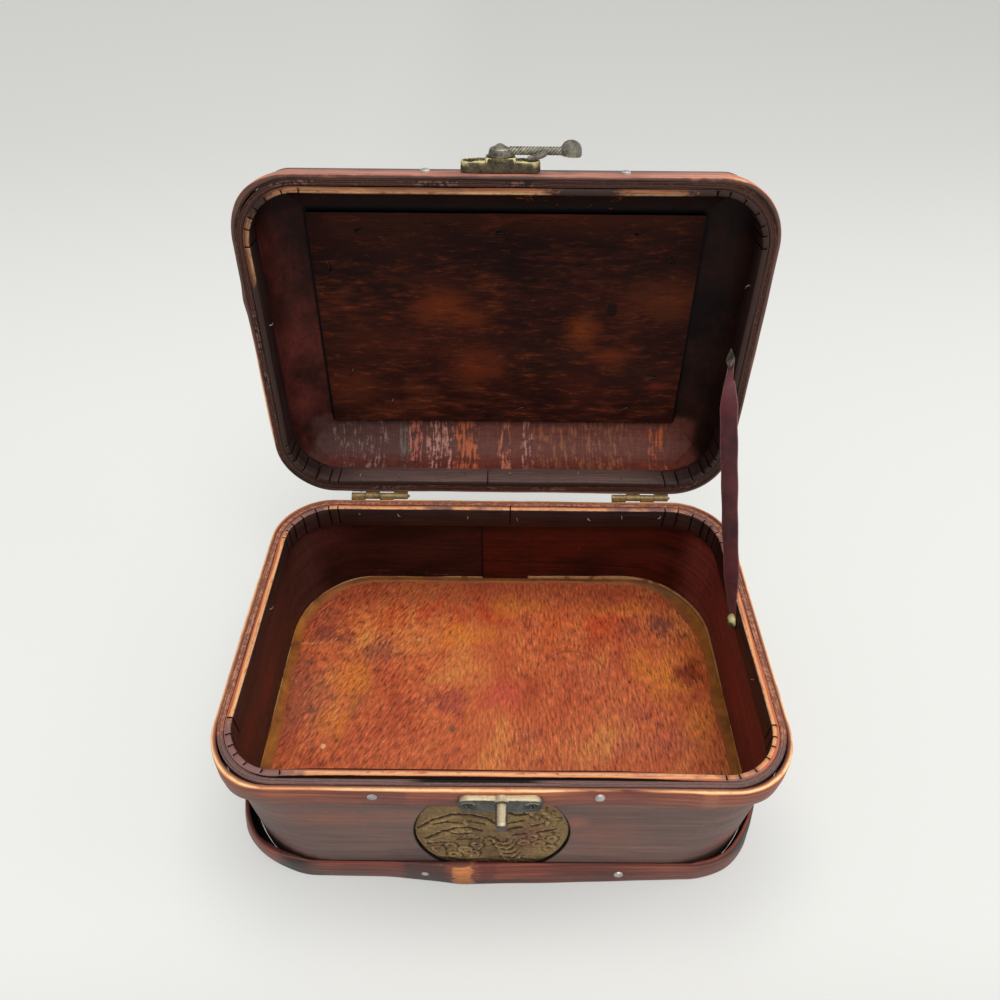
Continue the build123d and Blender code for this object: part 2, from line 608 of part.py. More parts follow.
def lid_sides():
    """The four coved sides, mitred at the corners and flanged inwards at the top."""
    half_width = PANEL_WIDTH / 2 - FLANGE_WIDTH
    half_depth = PANEL_DEPTH / 2 - FLANGE_WIDTH
    opening = block((-half_width, half_width), (-half_depth, half_depth), (CEILING - 1, LID_TOP))
    shell = lid_form(0) - lid_form(WALL_THICKNESS) - opening - LID_RIM_BORES - PANEL_BORES
    far_x = half_width + MITRE_REACH
    far_y = half_depth + MITRE_REACH
    corners = {
        "front": ((-far_x, -far_y), (far_x, -far_y), (half_width, -half_depth),
                  (-half_width, -half_depth)),
        "rear": ((-half_width, half_depth), (half_width, half_depth), (far_x, far_y),
                 (-far_x, far_y)),
        "left": ((-far_x, -far_y), (-half_width, -half_depth), (-half_width, half_depth),
                 (-far_x, far_y)),
        "right": ((far_x, -far_y), (far_x, far_y), (half_width, half_depth),
                  (half_width, -half_depth)),
    }
    sides = {}
    for name, points in corners.items():
        zone = extrude(make_face(Polyline(*points, close=True)), LID_TOP + 10)
        sides[f"lid_{name}_side"] = shell & zone
    return sides


def lid_top_panel():
    """The flat board laid on the outside of the flanges, its top edges eased."""
    size = (PANEL_WIDTH - 2 * TOP_PANEL_INSET, PANEL_DEPTH - 2 * TOP_PANEL_INSET)
    board = Pos(0, 0, CEILING + WALL_THICKNESS) * extrude(Rectangle(*size), TOP_PANEL_THICKNESS)
    board = chamfer(board.faces().sort_by(Axis.Z)[-1].edges(), TOP_PANEL_EDGE)
    return board - PANEL_BORES


def lid_inner_panel():
    """The matching board under the flanges, which is what shows inside the lid."""
    board = extrude(Rectangle(PANEL_WIDTH, PANEL_DEPTH), PANEL_THICKNESS)
    board = chamfer(board.faces().sort_by(Axis.Z)[-1].edges(), INNER_PANEL_EDGE)
    return Pos(0, 0, CEILING - PANEL_THICKNESS) * board - PANEL_BORES


def lid_band():
    top = LID_RIM + RIM_BAND_HEIGHT
    return bamboo_band(RIM_OUTLINE, LID_RIM, top, LID_BAND_NODE, LID_RIM_BORES)


def lid_liner():
    liner = kerfed_liner(LID_RIM, LID_RIM + LINER_HEIGHT, LID_JOINT_X, LID_RIM_BORES)
    return liner - on_right_liner(*TACK_LID, RIBBON_THICKNESS) * TACK_BORE


# ---- ribbon stay ----
def opened(shape):
    """A lid piece swung from closed to the rest pose."""
    return shape.rotate(HINGE_AXIS, -LID_OPEN)


def tack(head):
    """A tack driven outwards through the ribbon and the right-hand liner."""
    return head + TACK_BORE


def domed_head():
    """A round tack head, its base at the ribbon."""
    levels = [(TACK_HEAD_RADIUS, 0), (TACK_HEAD_RADIUS * 0.85, TACK_HEAD_HEIGHT * 0.6),
              (TACK_HEAD_RADIUS * 0.4, TACK_HEAD_HEIGHT)]
    return faceted(levels, FASTENER_SIDES)


def diamond_head():
    """A four-sided pyramid tack head, standing on one corner."""
    corner = TACK_HEAD_RADIUS * 2 ** 0.5
    return faceted([(corner, 0), (corner * 0.3, TACK_HEAD_HEIGHT)], 4)


def on_right_liner(y, z, stand_off=0.0):
    """A place on the right liner's inner face, its own Z pointing into the box."""
    return Plane((LINER_FACE_X - stand_off, y, z), x_dir=(0, 1, 0), z_dir=(-1, 0, 0)).location


def ribbon_stay():
    """The ribbon between its two tacks, flat against both liners, plain and straight."""
    lower = Vector(0, *TACK_BASE)
    swing = radians(-LID_OPEN)
    arm_y = TACK_LID[0] - HINGE_Y
    arm_z = TACK_LID[1] - HINGE_Z
    upper = Vector(
        0,
        HINGE_Y + arm_y * cos(swing) - arm_z * sin(swing),
        HINGE_Z + arm_y * sin(swing) + arm_z * cos(swing),
    )
    run = upper - lower
    middle = (upper + lower) * 0.5 + Vector(LINER_FACE_X - RIBBON_THICKNESS / 2, 0, 0)
    strap_plane = Plane(middle, x_dir=(1, 0, 0), z_dir=run)
    strap = strap_plane.location * Box(RIBBON_THICKNESS, RIBBON_WIDTH, run.length + RIBBON_TAILS)
    lower_bore = on_right_liner(*TACK_BASE, RIBBON_THICKNESS) * TACK_BORE
    upper_bore = opened(on_right_liner(*TACK_LID, RIBBON_THICKNESS) * TACK_BORE)
    return strap - lower_bore - upper_bore


# ---- nodes ----
def base_nodes():
    left, right = HINGE_CENTRES
    return {
        "base_wall": base_wall(),
        "base_floor": base_floor(),
        "floor_glue_bead": floor_glue_bead(),
        "base_upper_band": base_upper_band(),
        "base_lower_band": base_lower_band(),
        "base_liner": base_liner(),
        "medallion": medallion(),
        "catch_plate": catch_plate(),
        "catch_peg": catch_peg(),
        "catch_screws": group(placed(screw(CATCH_SCREW_LENGTH), CATCH_SCREW_PLACES)),
        "upper_band_nails": group(placed(nail(RIM_GRIP), UPPER_NAIL_PLACES)),
        "lower_band_nails": group(placed(nail(LOWER_NAIL_GRIP, 0), LOWER_NAIL_PLACES)),
        "hinge_left_base_leaf": hinge_leaf(left, False),
        "hinge_right_base_leaf": hinge_leaf(right, False),
        "hinge_left_pin": hinge_pin(left),
        "hinge_right_pin": hinge_pin(right),
        "hinge_base_nails": leaf_nails(BASE_LEAF_NAILS),
        "ribbon_stay": ribbon_stay(),
        "ribbon_tack_base": on_right_liner(*TACK_BASE, RIBBON_THICKNESS) * tack(domed_head()),
    }


def lid_nodes():
    left, right = HINGE_CENTRES
    nodes = lid_sides()
    nodes.update({
        "lid_top_panel": lid_top_panel(),
        "lid_inner_panel": lid_inner_panel(),
        "lid_band": lid_band(),
        "lid_liner": lid_liner(),
        "lid_panel_nails": group(placed(nail(PANEL_NAIL_GRIP), PANEL_NAIL_PLACES)),
        "lid_band_nails": group(placed(nail(RIM_GRIP), LID_NAIL_PLACES)),
        "hinge_left_lid_leaf": hinge_leaf(left, True),
        "hinge_right_lid_leaf": hinge_leaf(right, True),
        "hinge_lid_nails": leaf_nails(LID_LEAF_NAILS),
        "latch_plate": latch_plate(),
        "latch_rivet": latch_rivet(),
        "latch_screws": group(placed(screw(LATCH_SCREW_LENGTH), LATCH_SCREW_PLACES)),
        "latch_hook": hook_in_place(),
        "ribbon_tack_lid": on_right_liner(*TACK_LID, RIBBON_THICKNESS) * tack(diamond_head()),
    })
    return {name: opened(shape) for name, shape in nodes.items()}


def main():
    os.makedirs("parts", exist_ok=True)
    for name, shape in {**base_nodes(), **lid_nodes()}.items():
        export_step(shape, f"parts/{name}.step")


main()
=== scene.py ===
# %% [markdown]
# # A bent-ply ditty box with bamboo bands
# The box is a keepsake box of thin bent ply. Reddish bamboo bands bind both rims and the foot,
# kerfed strips line the rims, and a small cast latch closes the lid. The plain solids come from
# the frame, which fixes every size. This lesson gives each solid its finish, and it remodels the
# pieces whose surface matters most: bands, liners, medallion, latch, nails, ribbon and glue.

import json
import math

import bpy
import numpy as np
from mathutils import Matrix, Vector


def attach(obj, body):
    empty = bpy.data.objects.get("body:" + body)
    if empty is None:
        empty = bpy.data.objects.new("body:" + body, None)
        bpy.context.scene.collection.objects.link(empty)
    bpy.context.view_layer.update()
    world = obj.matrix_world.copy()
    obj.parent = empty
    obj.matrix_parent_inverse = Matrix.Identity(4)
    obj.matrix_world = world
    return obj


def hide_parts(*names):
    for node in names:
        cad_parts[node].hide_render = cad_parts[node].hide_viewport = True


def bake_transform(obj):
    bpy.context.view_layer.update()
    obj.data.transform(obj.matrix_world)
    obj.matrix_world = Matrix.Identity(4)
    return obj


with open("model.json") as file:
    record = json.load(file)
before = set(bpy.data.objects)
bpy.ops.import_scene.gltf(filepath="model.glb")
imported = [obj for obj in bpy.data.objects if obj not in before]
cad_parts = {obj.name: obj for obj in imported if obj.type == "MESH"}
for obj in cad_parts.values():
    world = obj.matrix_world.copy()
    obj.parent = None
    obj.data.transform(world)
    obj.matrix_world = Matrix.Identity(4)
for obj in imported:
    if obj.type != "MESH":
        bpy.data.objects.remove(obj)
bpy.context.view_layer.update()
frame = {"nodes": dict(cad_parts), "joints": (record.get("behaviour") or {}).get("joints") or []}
nodes = frame["nodes"]
joints = {joint["name"]: joint for joint in frame["joints"]}
MM = 0.001

# %% [markdown]
# The camera stands above and in front of the box and looks down into it. Its place, tilt and
# lens are plain numbers, so the picture's perspective never depends on the screen.

# %% Camera
def turn_about(axis, degrees):
    return Matrix.Rotation(math.radians(degrees), 4, axis)


camera_data = bpy.data.cameras.new("camera")
camera_data.sensor_width = 36.0
camera_data.lens = 27.095
camera_data.clip_start = 0.01
camera = bpy.data.objects.new("camera", camera_data)
bpy.context.scene.collection.objects.link(camera)
tilt_down, turn_right, roll = 43.33, 0.04, 0.54
camera.matrix_world = (Matrix.Translation((-0.0016, -0.19498, 0.32372))
                       @ turn_about("Z", -turn_right) @ turn_about("X", 90 - tilt_down)
                       @ turn_about("Z", roll))
bpy.context.scene.camera = camera
print("camera at", [round(value, 3) for value in camera.matrix_world.translation])

# %% [markdown]
# Shader sums are easier to read as sums. `Wire` stands for one output socket and turns
# `a * 2 + b` into Math nodes. `Finish` is one material: its `node` method makes any node from
# its type, its settings and what goes into its sockets. Colours are three numbers as they look
# on screen, 0 to 255, and `lay` puts an amount of one over another.

# %% Shader sums
def hue(red, green, blue):
    """A colour given as it looks on screen, 0 to 255, made ready for a shader."""
    linear = []
    for part in (red, green, blue):
        part = part / 255
        linear.append(part / 12.92 if part <= 0.04045 else ((part + 0.055) / 1.055) ** 2.4)
    return (*linear, 1.0)


def socket(sockets, key):
    """Finds a socket by number, identifier or name."""
    if isinstance(key, int):
        return sockets[key]
    for one in sockets:
        if one.identifier == key:
            return one
    return sockets[key]


class Wire:
    """An output socket that can be added, taken away, multiplied, divided and raised."""

    def __init__(self, finish, output):
        self.finish = finish
        self.output = output

    def sum(self, operation, first, second=0.0):
        settings = {"operation": operation}
        return self.finish.node("ShaderNodeMath", settings, {0: first, 1: second})

    def __add__(self, other):
        return self.sum("ADD", self, other)

    def __sub__(self, other):
        return self.sum("SUBTRACT", self, other)

    def __rsub__(self, other):
        return self.sum("SUBTRACT", other, self)

    def __mul__(self, other):
        return self.sum("MULTIPLY", self, other)

    def __truediv__(self, other):
        return self.sum("DIVIDE", self, other)

    def __pow__(self, other):
        return self.sum("POWER", self, other)

    __radd__ = __add__
    __rmul__ = __mul__

    def lay(self, amount, colour):
        """This colour with an amount of another laid over it."""
        return self.finish.mix(amount, self, colour)

    def shade(self, amount):
        return self.finish.shade(self, amount)

    def least(self, other):
        return self.sum("MINIMUM", self, other)

    def most(self, other):
        return self.sum("MAXIMUM", self, other)

    def size(self):
        return self.sum("ABSOLUTE", self)

    def keen(self, amount):
        """Noise about 0.5, its contrast raised and held between 0 and 1."""
        return ((self - 0.5) * amount + 0.5).least(1.0).most(0.0)

    def rise(self, low, high):
        """0 below `low`, 1 above `high`, smooth between; it falls where low is above high."""
        settings = {"interpolation_type": "SMOOTHSTEP", "clamp": True}
        values = {"Value": self, "From Min": low, "From Max": high, "To Min": 0.0, "To Max": 1.0}
        if low > high:
            values.update({"From Min": high, "From Max": low, "To Min": 1.0, "To Max": 0.0})
        return self.finish.node("ShaderNodeMapRange", settings, values)


class Finish:
    """One material, made node by node."""

    def __init__(self, name):
        self.material = bpy.data.materials.new(name)
        self.material.use_nodes = True
        self.tree = self.material.node_tree
        self.tree.nodes.clear()

    def node(self, kind, settings=None, values=None, output=0):
        """One node: its settings first, then its sockets' values or links. Colours are given
        as they look on screen."""
        made = self.tree.nodes.new(kind)
        for name, setting in (settings or {}).items():
            if name == "stops":
                ramp = made.color_ramp.elements
                while len(ramp) < len(setting):
                    ramp.new(0.5)
                for element, (place, colour) in zip(ramp, setting):
                    element.position = place
                    element.color = hue(*colour)
            else:
                setattr(made, name, setting)
        for key, value in (values or {}).items():
            into = socket(made.inputs, key)
            if isinstance(value, Wire):
                self.tree.links.new(value.output, into)
            else:
                into.default_value = hue(*value) if into.type == "RGBA" else value
        return Wire(self, socket(made.outputs, output))

    def place(self, scale=(1, 1, 1), turn=0.0, map_name=None):
        """Coordinates in metres, turned about Z and then stretched, from place or a UV map."""
        if map_name:
            source = self.node("ShaderNodeUVMap", {"uv_map": map_name})
        else:
            source = self.node("ShaderNodeTexCoord", None, None, "Object")
        if turn == 0.0 and scale == (1, 1, 1):
            return source
        turned = {"Vector": source, "Rotation": (0.0, 0.0, math.radians(turn)),
                  "Scale": tuple(1 / part for part in scale)}
        return self.node("ShaderNodeMapping", {"vector_type": "TEXTURE"}, turned)

    def parts(self, map_name=None):
        """The three numbers of a place, in metres, from the object or from a UV map."""
        split = self.node("ShaderNodeSeparateXYZ", None, {0: self.place(map_name=map_name)})
        return [Wire(self, output) for output in split.output.node.outputs]

    def cloud(self, cells, detail, rough, map_name=None, turn=0.0, warp=0.0):
        """Soft noise, about 0.3 to 0.7, with so many cells per metre: one number or three."""
        even = isinstance(cells, int)
        values = {"Vector": self.place((1, 1, 1) if even else cells, turn, map_name),
                  "Scale": cells if even else 1.0, "Detail": detail, "Roughness": rough,
                  "Distortion": warp}
        return self.node("ShaderNodeTexNoise", None, values)

    def mix(self, amount, first, second, blend="MIX"):
        values = {"Factor_Float": amount, "A_Color": first, "B_Color": second}
        settings = {"data_type": "RGBA", "blend_type": blend}
        return self.node("ShaderNodeMix", settings, values, "Result_Color")

    def ramp(self, value, *stops):
        return self.node("ShaderNodeValToRGB", {"stops": stops}, {0: value})

    def shade(self, colour, amount):
        """A colour made lighter or darker by a number near 1."""
        grey = self.node("ShaderNodeCombineColor", None, {0: amount, 1: amount, 2: amount})
        return self.mix(1.0, colour, grey, "MULTIPLY")

    def spot(self, across, up, centre, reach, ragged, spread=1.2):
        """1 in the middle of a soft oval, fading to 0; the noise `ragged` breaks it up."""
        far = ((across - centre[0] * MM) / (reach[0] * MM)) ** 2.0
        far = (far + ((up - centre[1] * MM) / (reach[1] * MM)) ** 2.0) ** 0.5
        return (far + (ragged - 0.5) * (2 * spread)).rise(1.3, 0.2)

    def spots(self, colour, across, up, ragged, patches, strength=1.0):
        """Soft ovals over a colour: (middle, reach, tone, amount) for each, in millimetres."""
        for centre, reach, tone, amount in patches:
            inside = self.spot(across, up, centre, reach, ragged)
            colour = self.mix(inside * (amount * strength), colour, tone)
        return colour

    def around(self, along, middle, reach, ragged, soft=(1.2, 0.7)):
        """1 within `reach` mm of a place `middle` mm along, fading to 0 past it."""
        far = (along - middle * MM).size() + ragged
        return far.rise(reach * soft[0] * MM, reach * soft[1] * MM)

    def rim_distance(self, x, y, outline):
        """How far a place lies outside a rounded rectangle; inside it is below 0."""
        width, depth, radius = (part * MM for part in outline)
        past_x = x.size() - (width / 2 - radius)
        past_y = y.size() - (depth / 2 - radius)
        corner = (past_x.most(0.0) ** 2.0 + past_y.most(0.0) ** 2.0) ** 0.5
        return corner + past_x.most(past_y).least(0.0) - radius

    def surface(self, shader):
        """Ends the material with its surface shader."""
        end = self.tree.nodes.new("ShaderNodeOutputMaterial")
        self.tree.links.new(shader.output, end.inputs["Surface"])
        print("finish", self.material.name, "nodes", len(self.tree.nodes))
        return self.material

    def finish(self, colour, bump, bump_depth, roughness, gloss=0.5, **values):
        """A coated surface whose `bump` wire makes a relief `bump_depth` mm deep."""
        depth = {"Height": bump, "Distance": bump_depth * MM, "Strength": 1.0}
        sockets = {"Base Color": colour, "Roughness": roughness, "Specular IOR Level": gloss,
                   "Normal": self.node("ShaderNodeBump", None, depth), **values}
        return self.surface(self.node("ShaderNodeBsdfPrincipled", None, sockets))


# %% [markdown]
# Every new piece starts as one primitive with nothing else selected. These helpers add it,
# change it with edit steps and modifiers, move its points in millimetres, and seat the finished
# piece: it rides on a body, takes its finish and hides the plain solid that it stands for.

# %% Modelling helpers
def fresh(add, name, **settings):
    """Adds one primitive, alone in the selection, and names it."""
    bpy.ops.object.select_all(action="DESELECT")
    add(**settings)
    piece = bpy.context.object
    piece.name = piece.data.name = name
    return piece


def select(*pieces):
    """Selects these pieces and nothing else, the first one active."""
    bpy.ops.object.select_all(action="DESELECT")
    for piece in pieces:
        piece.select_set(True)
    bpy.context.view_layer.objects.active = pieces[0]


def edit(piece, *steps):
    """Runs (operator, settings) steps in edit mode, with all of the piece selected."""
    select(piece)
    bpy.ops.object.mode_set(mode="EDIT")
    bpy.ops.mesh.select_all(action="SELECT")
    for operator, settings in steps:
        operator(**settings)
    bpy.ops.object.mode_set(mode="OBJECT")


STEP_UP = (bpy.ops.mesh.extrude_region_move, {"TRANSFORM_OT_translate": {"value": (0, 0, 1)}})


def apply_modifier(piece, kind, **settings):
    select(piece)
    modifier = piece.modifiers.new("step", kind)
    for name, value in settings.items():
        setattr(modifier, name, value)
    bpy.ops.object.modifier_apply(modifier="step")


def points_of(piece):
    """A piece's points as rows of x, y, z in millimetres."""
    flat = np.empty(len(piece.data.vertices) * 3)
    piece.data.vertices.foreach_get("co", flat)
    return flat.reshape(-1, 3) / MM


def set_points(piece, points):
    piece.data.vertices.foreach_set("co", (np.asarray(points) * MM).ravel())
    piece.data.update()


def loop_points(piece):
    """The point that each face corner uses."""
    loops = np.empty(len(piece.data.loops), int)
    piece.data.loops.foreach_get("vertex_index", loops)
    return loops


def add_map(piece, title, places):
    """A UV map from one (u, v) in metres for each face corner."""
    layer = piece.data.uv_layers.new(name=title)
    layer.uv.foreach_set("vector", np.ravel(places))


def smooth(piece, angle=40):
    select(piece)
    bpy.ops.object.shade_smooth_by_angle(angle=math.radians(angle))


def outward(piece):
    """Points every face outwards, after joining doubled points."""
    edit(piece, (bpy.ops.mesh.remove_doubles, {"threshold": 0.000005}),
         (bpy.ops.mesh.normals_make_consistent, {"inside": False}))


def joined(pieces, name):
    """Several pieces made one."""
    select(*pieces)
    if len(pieces) > 1:
        bpy.ops.object.join()
    whole = bpy.context.object
    whole.name = whole.data.name = name
    return whole


def copies(pattern, places, name):
    """A modelled pattern repeated at each place, every copy with its own mesh."""
    made = []
    for place in places:
        copy = pattern.copy()
        copy.data = pattern.data.copy()
        bpy.context.scene.collection.objects.link(copy)
        copy.data.transform(place)
        made.append(copy)
    bpy.data.objects.remove(pattern)
    return joined(made, name)


def carve(piece, other, operation="DIFFERENCE"):
    """Cuts another solid away from a piece, or joins it on with the operation UNION."""
    apply_modifier(piece, "BOOLEAN", object=other, operation=operation, solver="EXACT")
    bpy.data.objects.remove(other)


def place_mm(x, y, z):
    return Matrix.Translation((x * MM, y * MM, z * MM))


def put(piece, place):
    """Moves a piece's points to their place; its origin stays at the scene's."""
    piece.data.transform(place)
    piece.data.update()
    return piece


FACE_FRONT = turn_about("X", 90)          # a flat piece's top turned to the front
hinge = Vector(joints["lid_hinge"]["pos_m"])
LID_OPEN = joints["lid_hinge"]["range_deg"][1]
SWING = Matrix.Translation(hinge) @ turn_about("X", -LID_OPEN) @ Matrix.Translation(-hinge)


def seat(piece, body, finish, node, closed=True):
    """The last step of a new piece, which stands for the plain solid `node`. What rides on the
    lid is modelled with the lid closed, so it is swung to where the open lid rests."""
    if closed and body != "base":
        put(piece, SWING)
    piece.data.materials.clear()
    piece.data.materials.append(finish)
    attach(piece, body)
    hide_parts(node)
    print(piece.name, "faces", len(piece.data.polygons))


# %% [markdown]
# Bands, liners and glue are all hoops round a rounded rectangle. A hoop starts as a circle whose
# edge is extruded once for each corner of its cross-section and bridged shut. Its points then
# slide to their places, so one cross-section can swell, bow or waver along the run. Two UV maps
# are kept: "run" follows the strip, and "edge" says how far a point is from the rim.

# %% Hoops
def outline_at(run, outline):
    """Middle, turn and corner places of a rounded rectangle, `run` mm along it from the middle
    of the back, going round by the left side, the front and the right side."""
    width, depth, radius = outline
    across, along, arc = width / 2 - radius, depth / 2 - radius, math.pi * radius / 2
    knots = np.cumsum([0, across, arc, 2 * along, arc, 2 * across, arc, 2 * along, arc, across])
    sign_x = np.array([0, -1, -1, -1, -1, 1, 1, 1, 1, 0])
    sign_y = np.array([1, 1, 1, -1, -1, -1, -1, 1, 1, 1])
    turn = np.array([90, 90, 180, 180, 270, 270, 360, 360, 450, 450])
    middle_x = np.interp(run, knots, sign_x * across)
    middle_y = np.interp(run, knots, sign_y * along)
    return middle_x, middle_y, np.radians(np.interp(run, knots, turn)), knots


def length_of(outline):
    return outline_at(0.0, outline)[3][-1]


def front_run(x, outline):
    """How far along a hoop the place `x` on the front lies."""
    return length_of(outline) / 2 + x


def bump(run, middle, reach):
    """A smooth rise to 1 at one place."""
    return np.exp(-(((run - middle) / reach) ** 2))


def plateau(run, start, end, soft):
    """1 between two places, easing to 0 outside them."""
    return 1 / (1 + np.exp(-(run - start) / soft)) - 1 / (1 + np.exp(-(run - end) / soft))


def waver(run, length, *waves):
    """Hand-made unevenness: (height, how many per lap, start) for each wave."""
    return sum(height * np.sin(2 * math.pi * (laps * run / length + start))
               for height, laps, start in waves)


def hoop(name, outline, section, rim, count=320):
    """A closed hoop. `section(run)` gives the cross-section's corners as (out, up) pairs."""
    piece = fresh(bpy.ops.mesh.primitive_circle_add, name, vertices=count, radius=1.0)
    length = length_of(outline)
    corners = len(section(0.0))
    edit(piece, *[STEP_UP] * (corners - 1),
         (bpy.ops.mesh.select_all, {"action": "DESELECT"}),
         (bpy.ops.mesh.select_non_manifold, {}), (bpy.ops.mesh.bridge_edge_loops, {}))
    raw = points_of(piece) * MM                      # still the unit circle, one unit a level
    step = np.rint(np.arctan2(raw[:, 1], raw[:, 0]) / (2 * math.pi) * count).astype(int) % count
    level = np.rint(raw[:, 2]).astype(int)
    run = step * length / count
    sections = section(run)
    out = np.choose(level, [np.broadcast_to(corner[0], run.shape) for corner in sections])
    up = np.choose(level, [np.broadcast_to(corner[1], run.shape) for corner in sections])
    middle_x, middle_y, turn, _ = outline_at(run, outline)
    reach = outline[2] + out
    set_points(piece, np.column_stack(
        [middle_x + reach * np.cos(turn), middle_y + reach * np.sin(turn), up]))
    faces = loop_points(piece).reshape(-1, 4)
    around, higher = step[faces], level[faces]
    around = np.where((around.max(1, keepdims=True) - around) > count / 2, around + count, around)
    wraps = (higher.max(1) - higher.min(1) > 1)[:, None] & (higher == 0)
    nominal = section(np.full(1, length * 0.31))
    flat = np.array([[float(np.ravel(value)[0]) for value in corner] for corner in nominal])
    sides = np.diff(np.vstack([flat, flat[:1]]), axis=0)
    girth = np.concatenate([[0], np.cumsum(np.hypot(*sides.T))])
    along = np.stack([around * length / count, girth[np.where(wraps, corners, higher)]], -1)
    edge = np.stack([out[faces], np.abs(up[faces] - rim)], -1)
    add_map(piece, "run", along * MM)
    add_map(piece, "edge", edge * MM)
    outward(piece)
    smooth(piece, 50)
    return piece


RIM_BAND = (216.0, 148.0, 26.0)       # outside width, depth and corner radius
FOOT_BAND = (218.8, 156.4, 34.0)
LINER = (207.6, 139.6, 23.8)
PLY_FOOT_INSIDE = (210.4, 148.0, 38.8)
PLY_RIM, PLY_FOOT = (212.0, 144.0, 26.0), (214.8, 152.4, 41.0)
BASE_RIM, LID_RIM, FOOT_TOP, FLOOR_TOP = 70.0, 70.4, 15.0, 10.0
BAND_POINTS = 400                     # points round each band


# %% [markdown]
# The stage is a pale floor under soft studio light: one broad lamp above, a smaller one from the
# right, and an even pale sky. The floor's own colour makes the background pale; painted light
# falloff makes it a little duller far behind and in front of the box and lighter to the left, and
# a painted shadow darkens it round the box's foot. A small lift that only the camera and
# reflections see brings it to its tone.

# %% Stage
paint = Finish("pale_floor")
seen = paint.node("ShaderNodeLightPath", output="Is Camera Ray")
mirrored = paint.node("ShaderNodeLightPath", output="Is Glossy Ray")
floor_x, floor_y, _ = paint.parts()
specks = paint.cloud(900, 2, 0.6)
# painted light falloff: the floor is drawn darker far behind the box and in front of it, and
# lighter to the left
painted_falloff = floor_y.rise(0.15, 0.85) * 0.86 + floor_y.rise(-0.09, -0.15) * 0.6
left = floor_x.rise(0.0, -0.2)
tone = paint.mix(painted_falloff, (238, 238, 234), (224, 223, 219))
tone = paint.shade(tone, 0.965 + left * 0.05 + specks * 0.03)
# painted shadow: the floor is drawn darker round the box's foot, most in front of it
painted_shadow_near_foot = paint.rim_distance(floor_x, floor_y, FOOT_BAND).rise(0.044, 0.0)
in_front = 0.25 + floor_y.rise(-0.03, -0.08) * 0.75
deepest = floor_x.size().rise(0.12, 0.0) * 0.12 + 0.15
tone = paint.shade(tone, 1.0 - (painted_shadow_near_foot ** 1.3) * in_front * deepest)
diffuse = paint.node("ShaderNodeBsdfDiffuse", None, {"Color": tone})
lift = paint.node("ShaderNodeEmission", None, {"Color": tone, "Strength": 1.0})
lifted = paint.node("ShaderNodeMixShader", None,
                    {0: (seen + mirrored).least(1.0) * 0.55, 1: diffuse, 2: lift})
paint.surface(lifted)
floor = fresh(bpy.ops.mesh.primitive_plane_add, "stage_floor", size=6.0)
floor.data.materials.append(paint.material)

world = bpy.data.worlds.new("studio")
world.use_nodes = True
world.node_tree.nodes["Background"].inputs["Color"].default_value = hue(240, 243, 246)
world.node_tree.nodes["Background"].inputs["Strength"].default_value = 0.55
bpy.context.scene.world = world


def lamp(name, place, aim, size, power, colour):
    """A square soft lamp that points at `aim`."""
    light = bpy.data.lights.new(name, "AREA")
    light.size = size
    light.energy = power
    light.color = colour
    holder = bpy.data.objects.new(name, light)
    holder.location = place
    holder.rotation_euler = (Vector(aim) - Vector(place)).to_track_quat("-Z", "Y").to_euler()
    bpy.context.scene.collection.objects.link(holder)


lamp("lamp_above", (0.15, -0.35, 1.3), (0, 0.0, 0.05), 0.9, 11.0, (1.0, 0.985, 0.96))
lamp("lamp_right", (1.1, 0.1, 0.7), (0, 0, 0.05), 0.6, 3.5, (1.0, 0.98, 0.95))
bpy.context.scene.view_settings.view_transform = "Standard"
print("stage ready")

# %% [markdown]
# The bands are split bamboo, stained red-brown and rubbed pale along their outer edge; the
# cream line there is partly a painted highlight. Fine streaks follow the "run" map round every
# corner. The "edge" map tells how near the rim a point is, and that is where the stain has worn
# through. A band's face is also painted lighter near the rim and darker away from it, as painted
# shade. Patches name places on the front where a knot, a nail or a thumb changed the tone. Deep
# inside a band's gaps the colour is painted nearly black, as painted shade.

# %% Bamboo finish
# pale cream for rubbed edges, whose brightest line is partly a painted highlight
CREAM_WEAR_AND_HIGHLIGHT = (248, 208, 156)
# near-black painted into gaps, cuts, cracks and round the medallion's window as painted shade, and
# used for one dark joint line
SHADE_AND_JOINT_BLACK = (14, 8, 7)


def strip_maps(paint, fibre, strand, broad, mottle, keen):
    """A strip's coordinates, then four noises that follow it, from fine to broad."""
    along, _, _ = paint.parts("run")
    out, rim, _ = paint.parts("edge")
    return (along, out, rim, paint.cloud(fibre, 3, 0.65, "run").keen(keen[0]),
            paint.cloud(strand, 3, 0.6, "run").keen(keen[1]),
            paint.cloud(broad, 4, 0.6, "run"), paint.cloud(mottle, 3, 0.6, "run"))


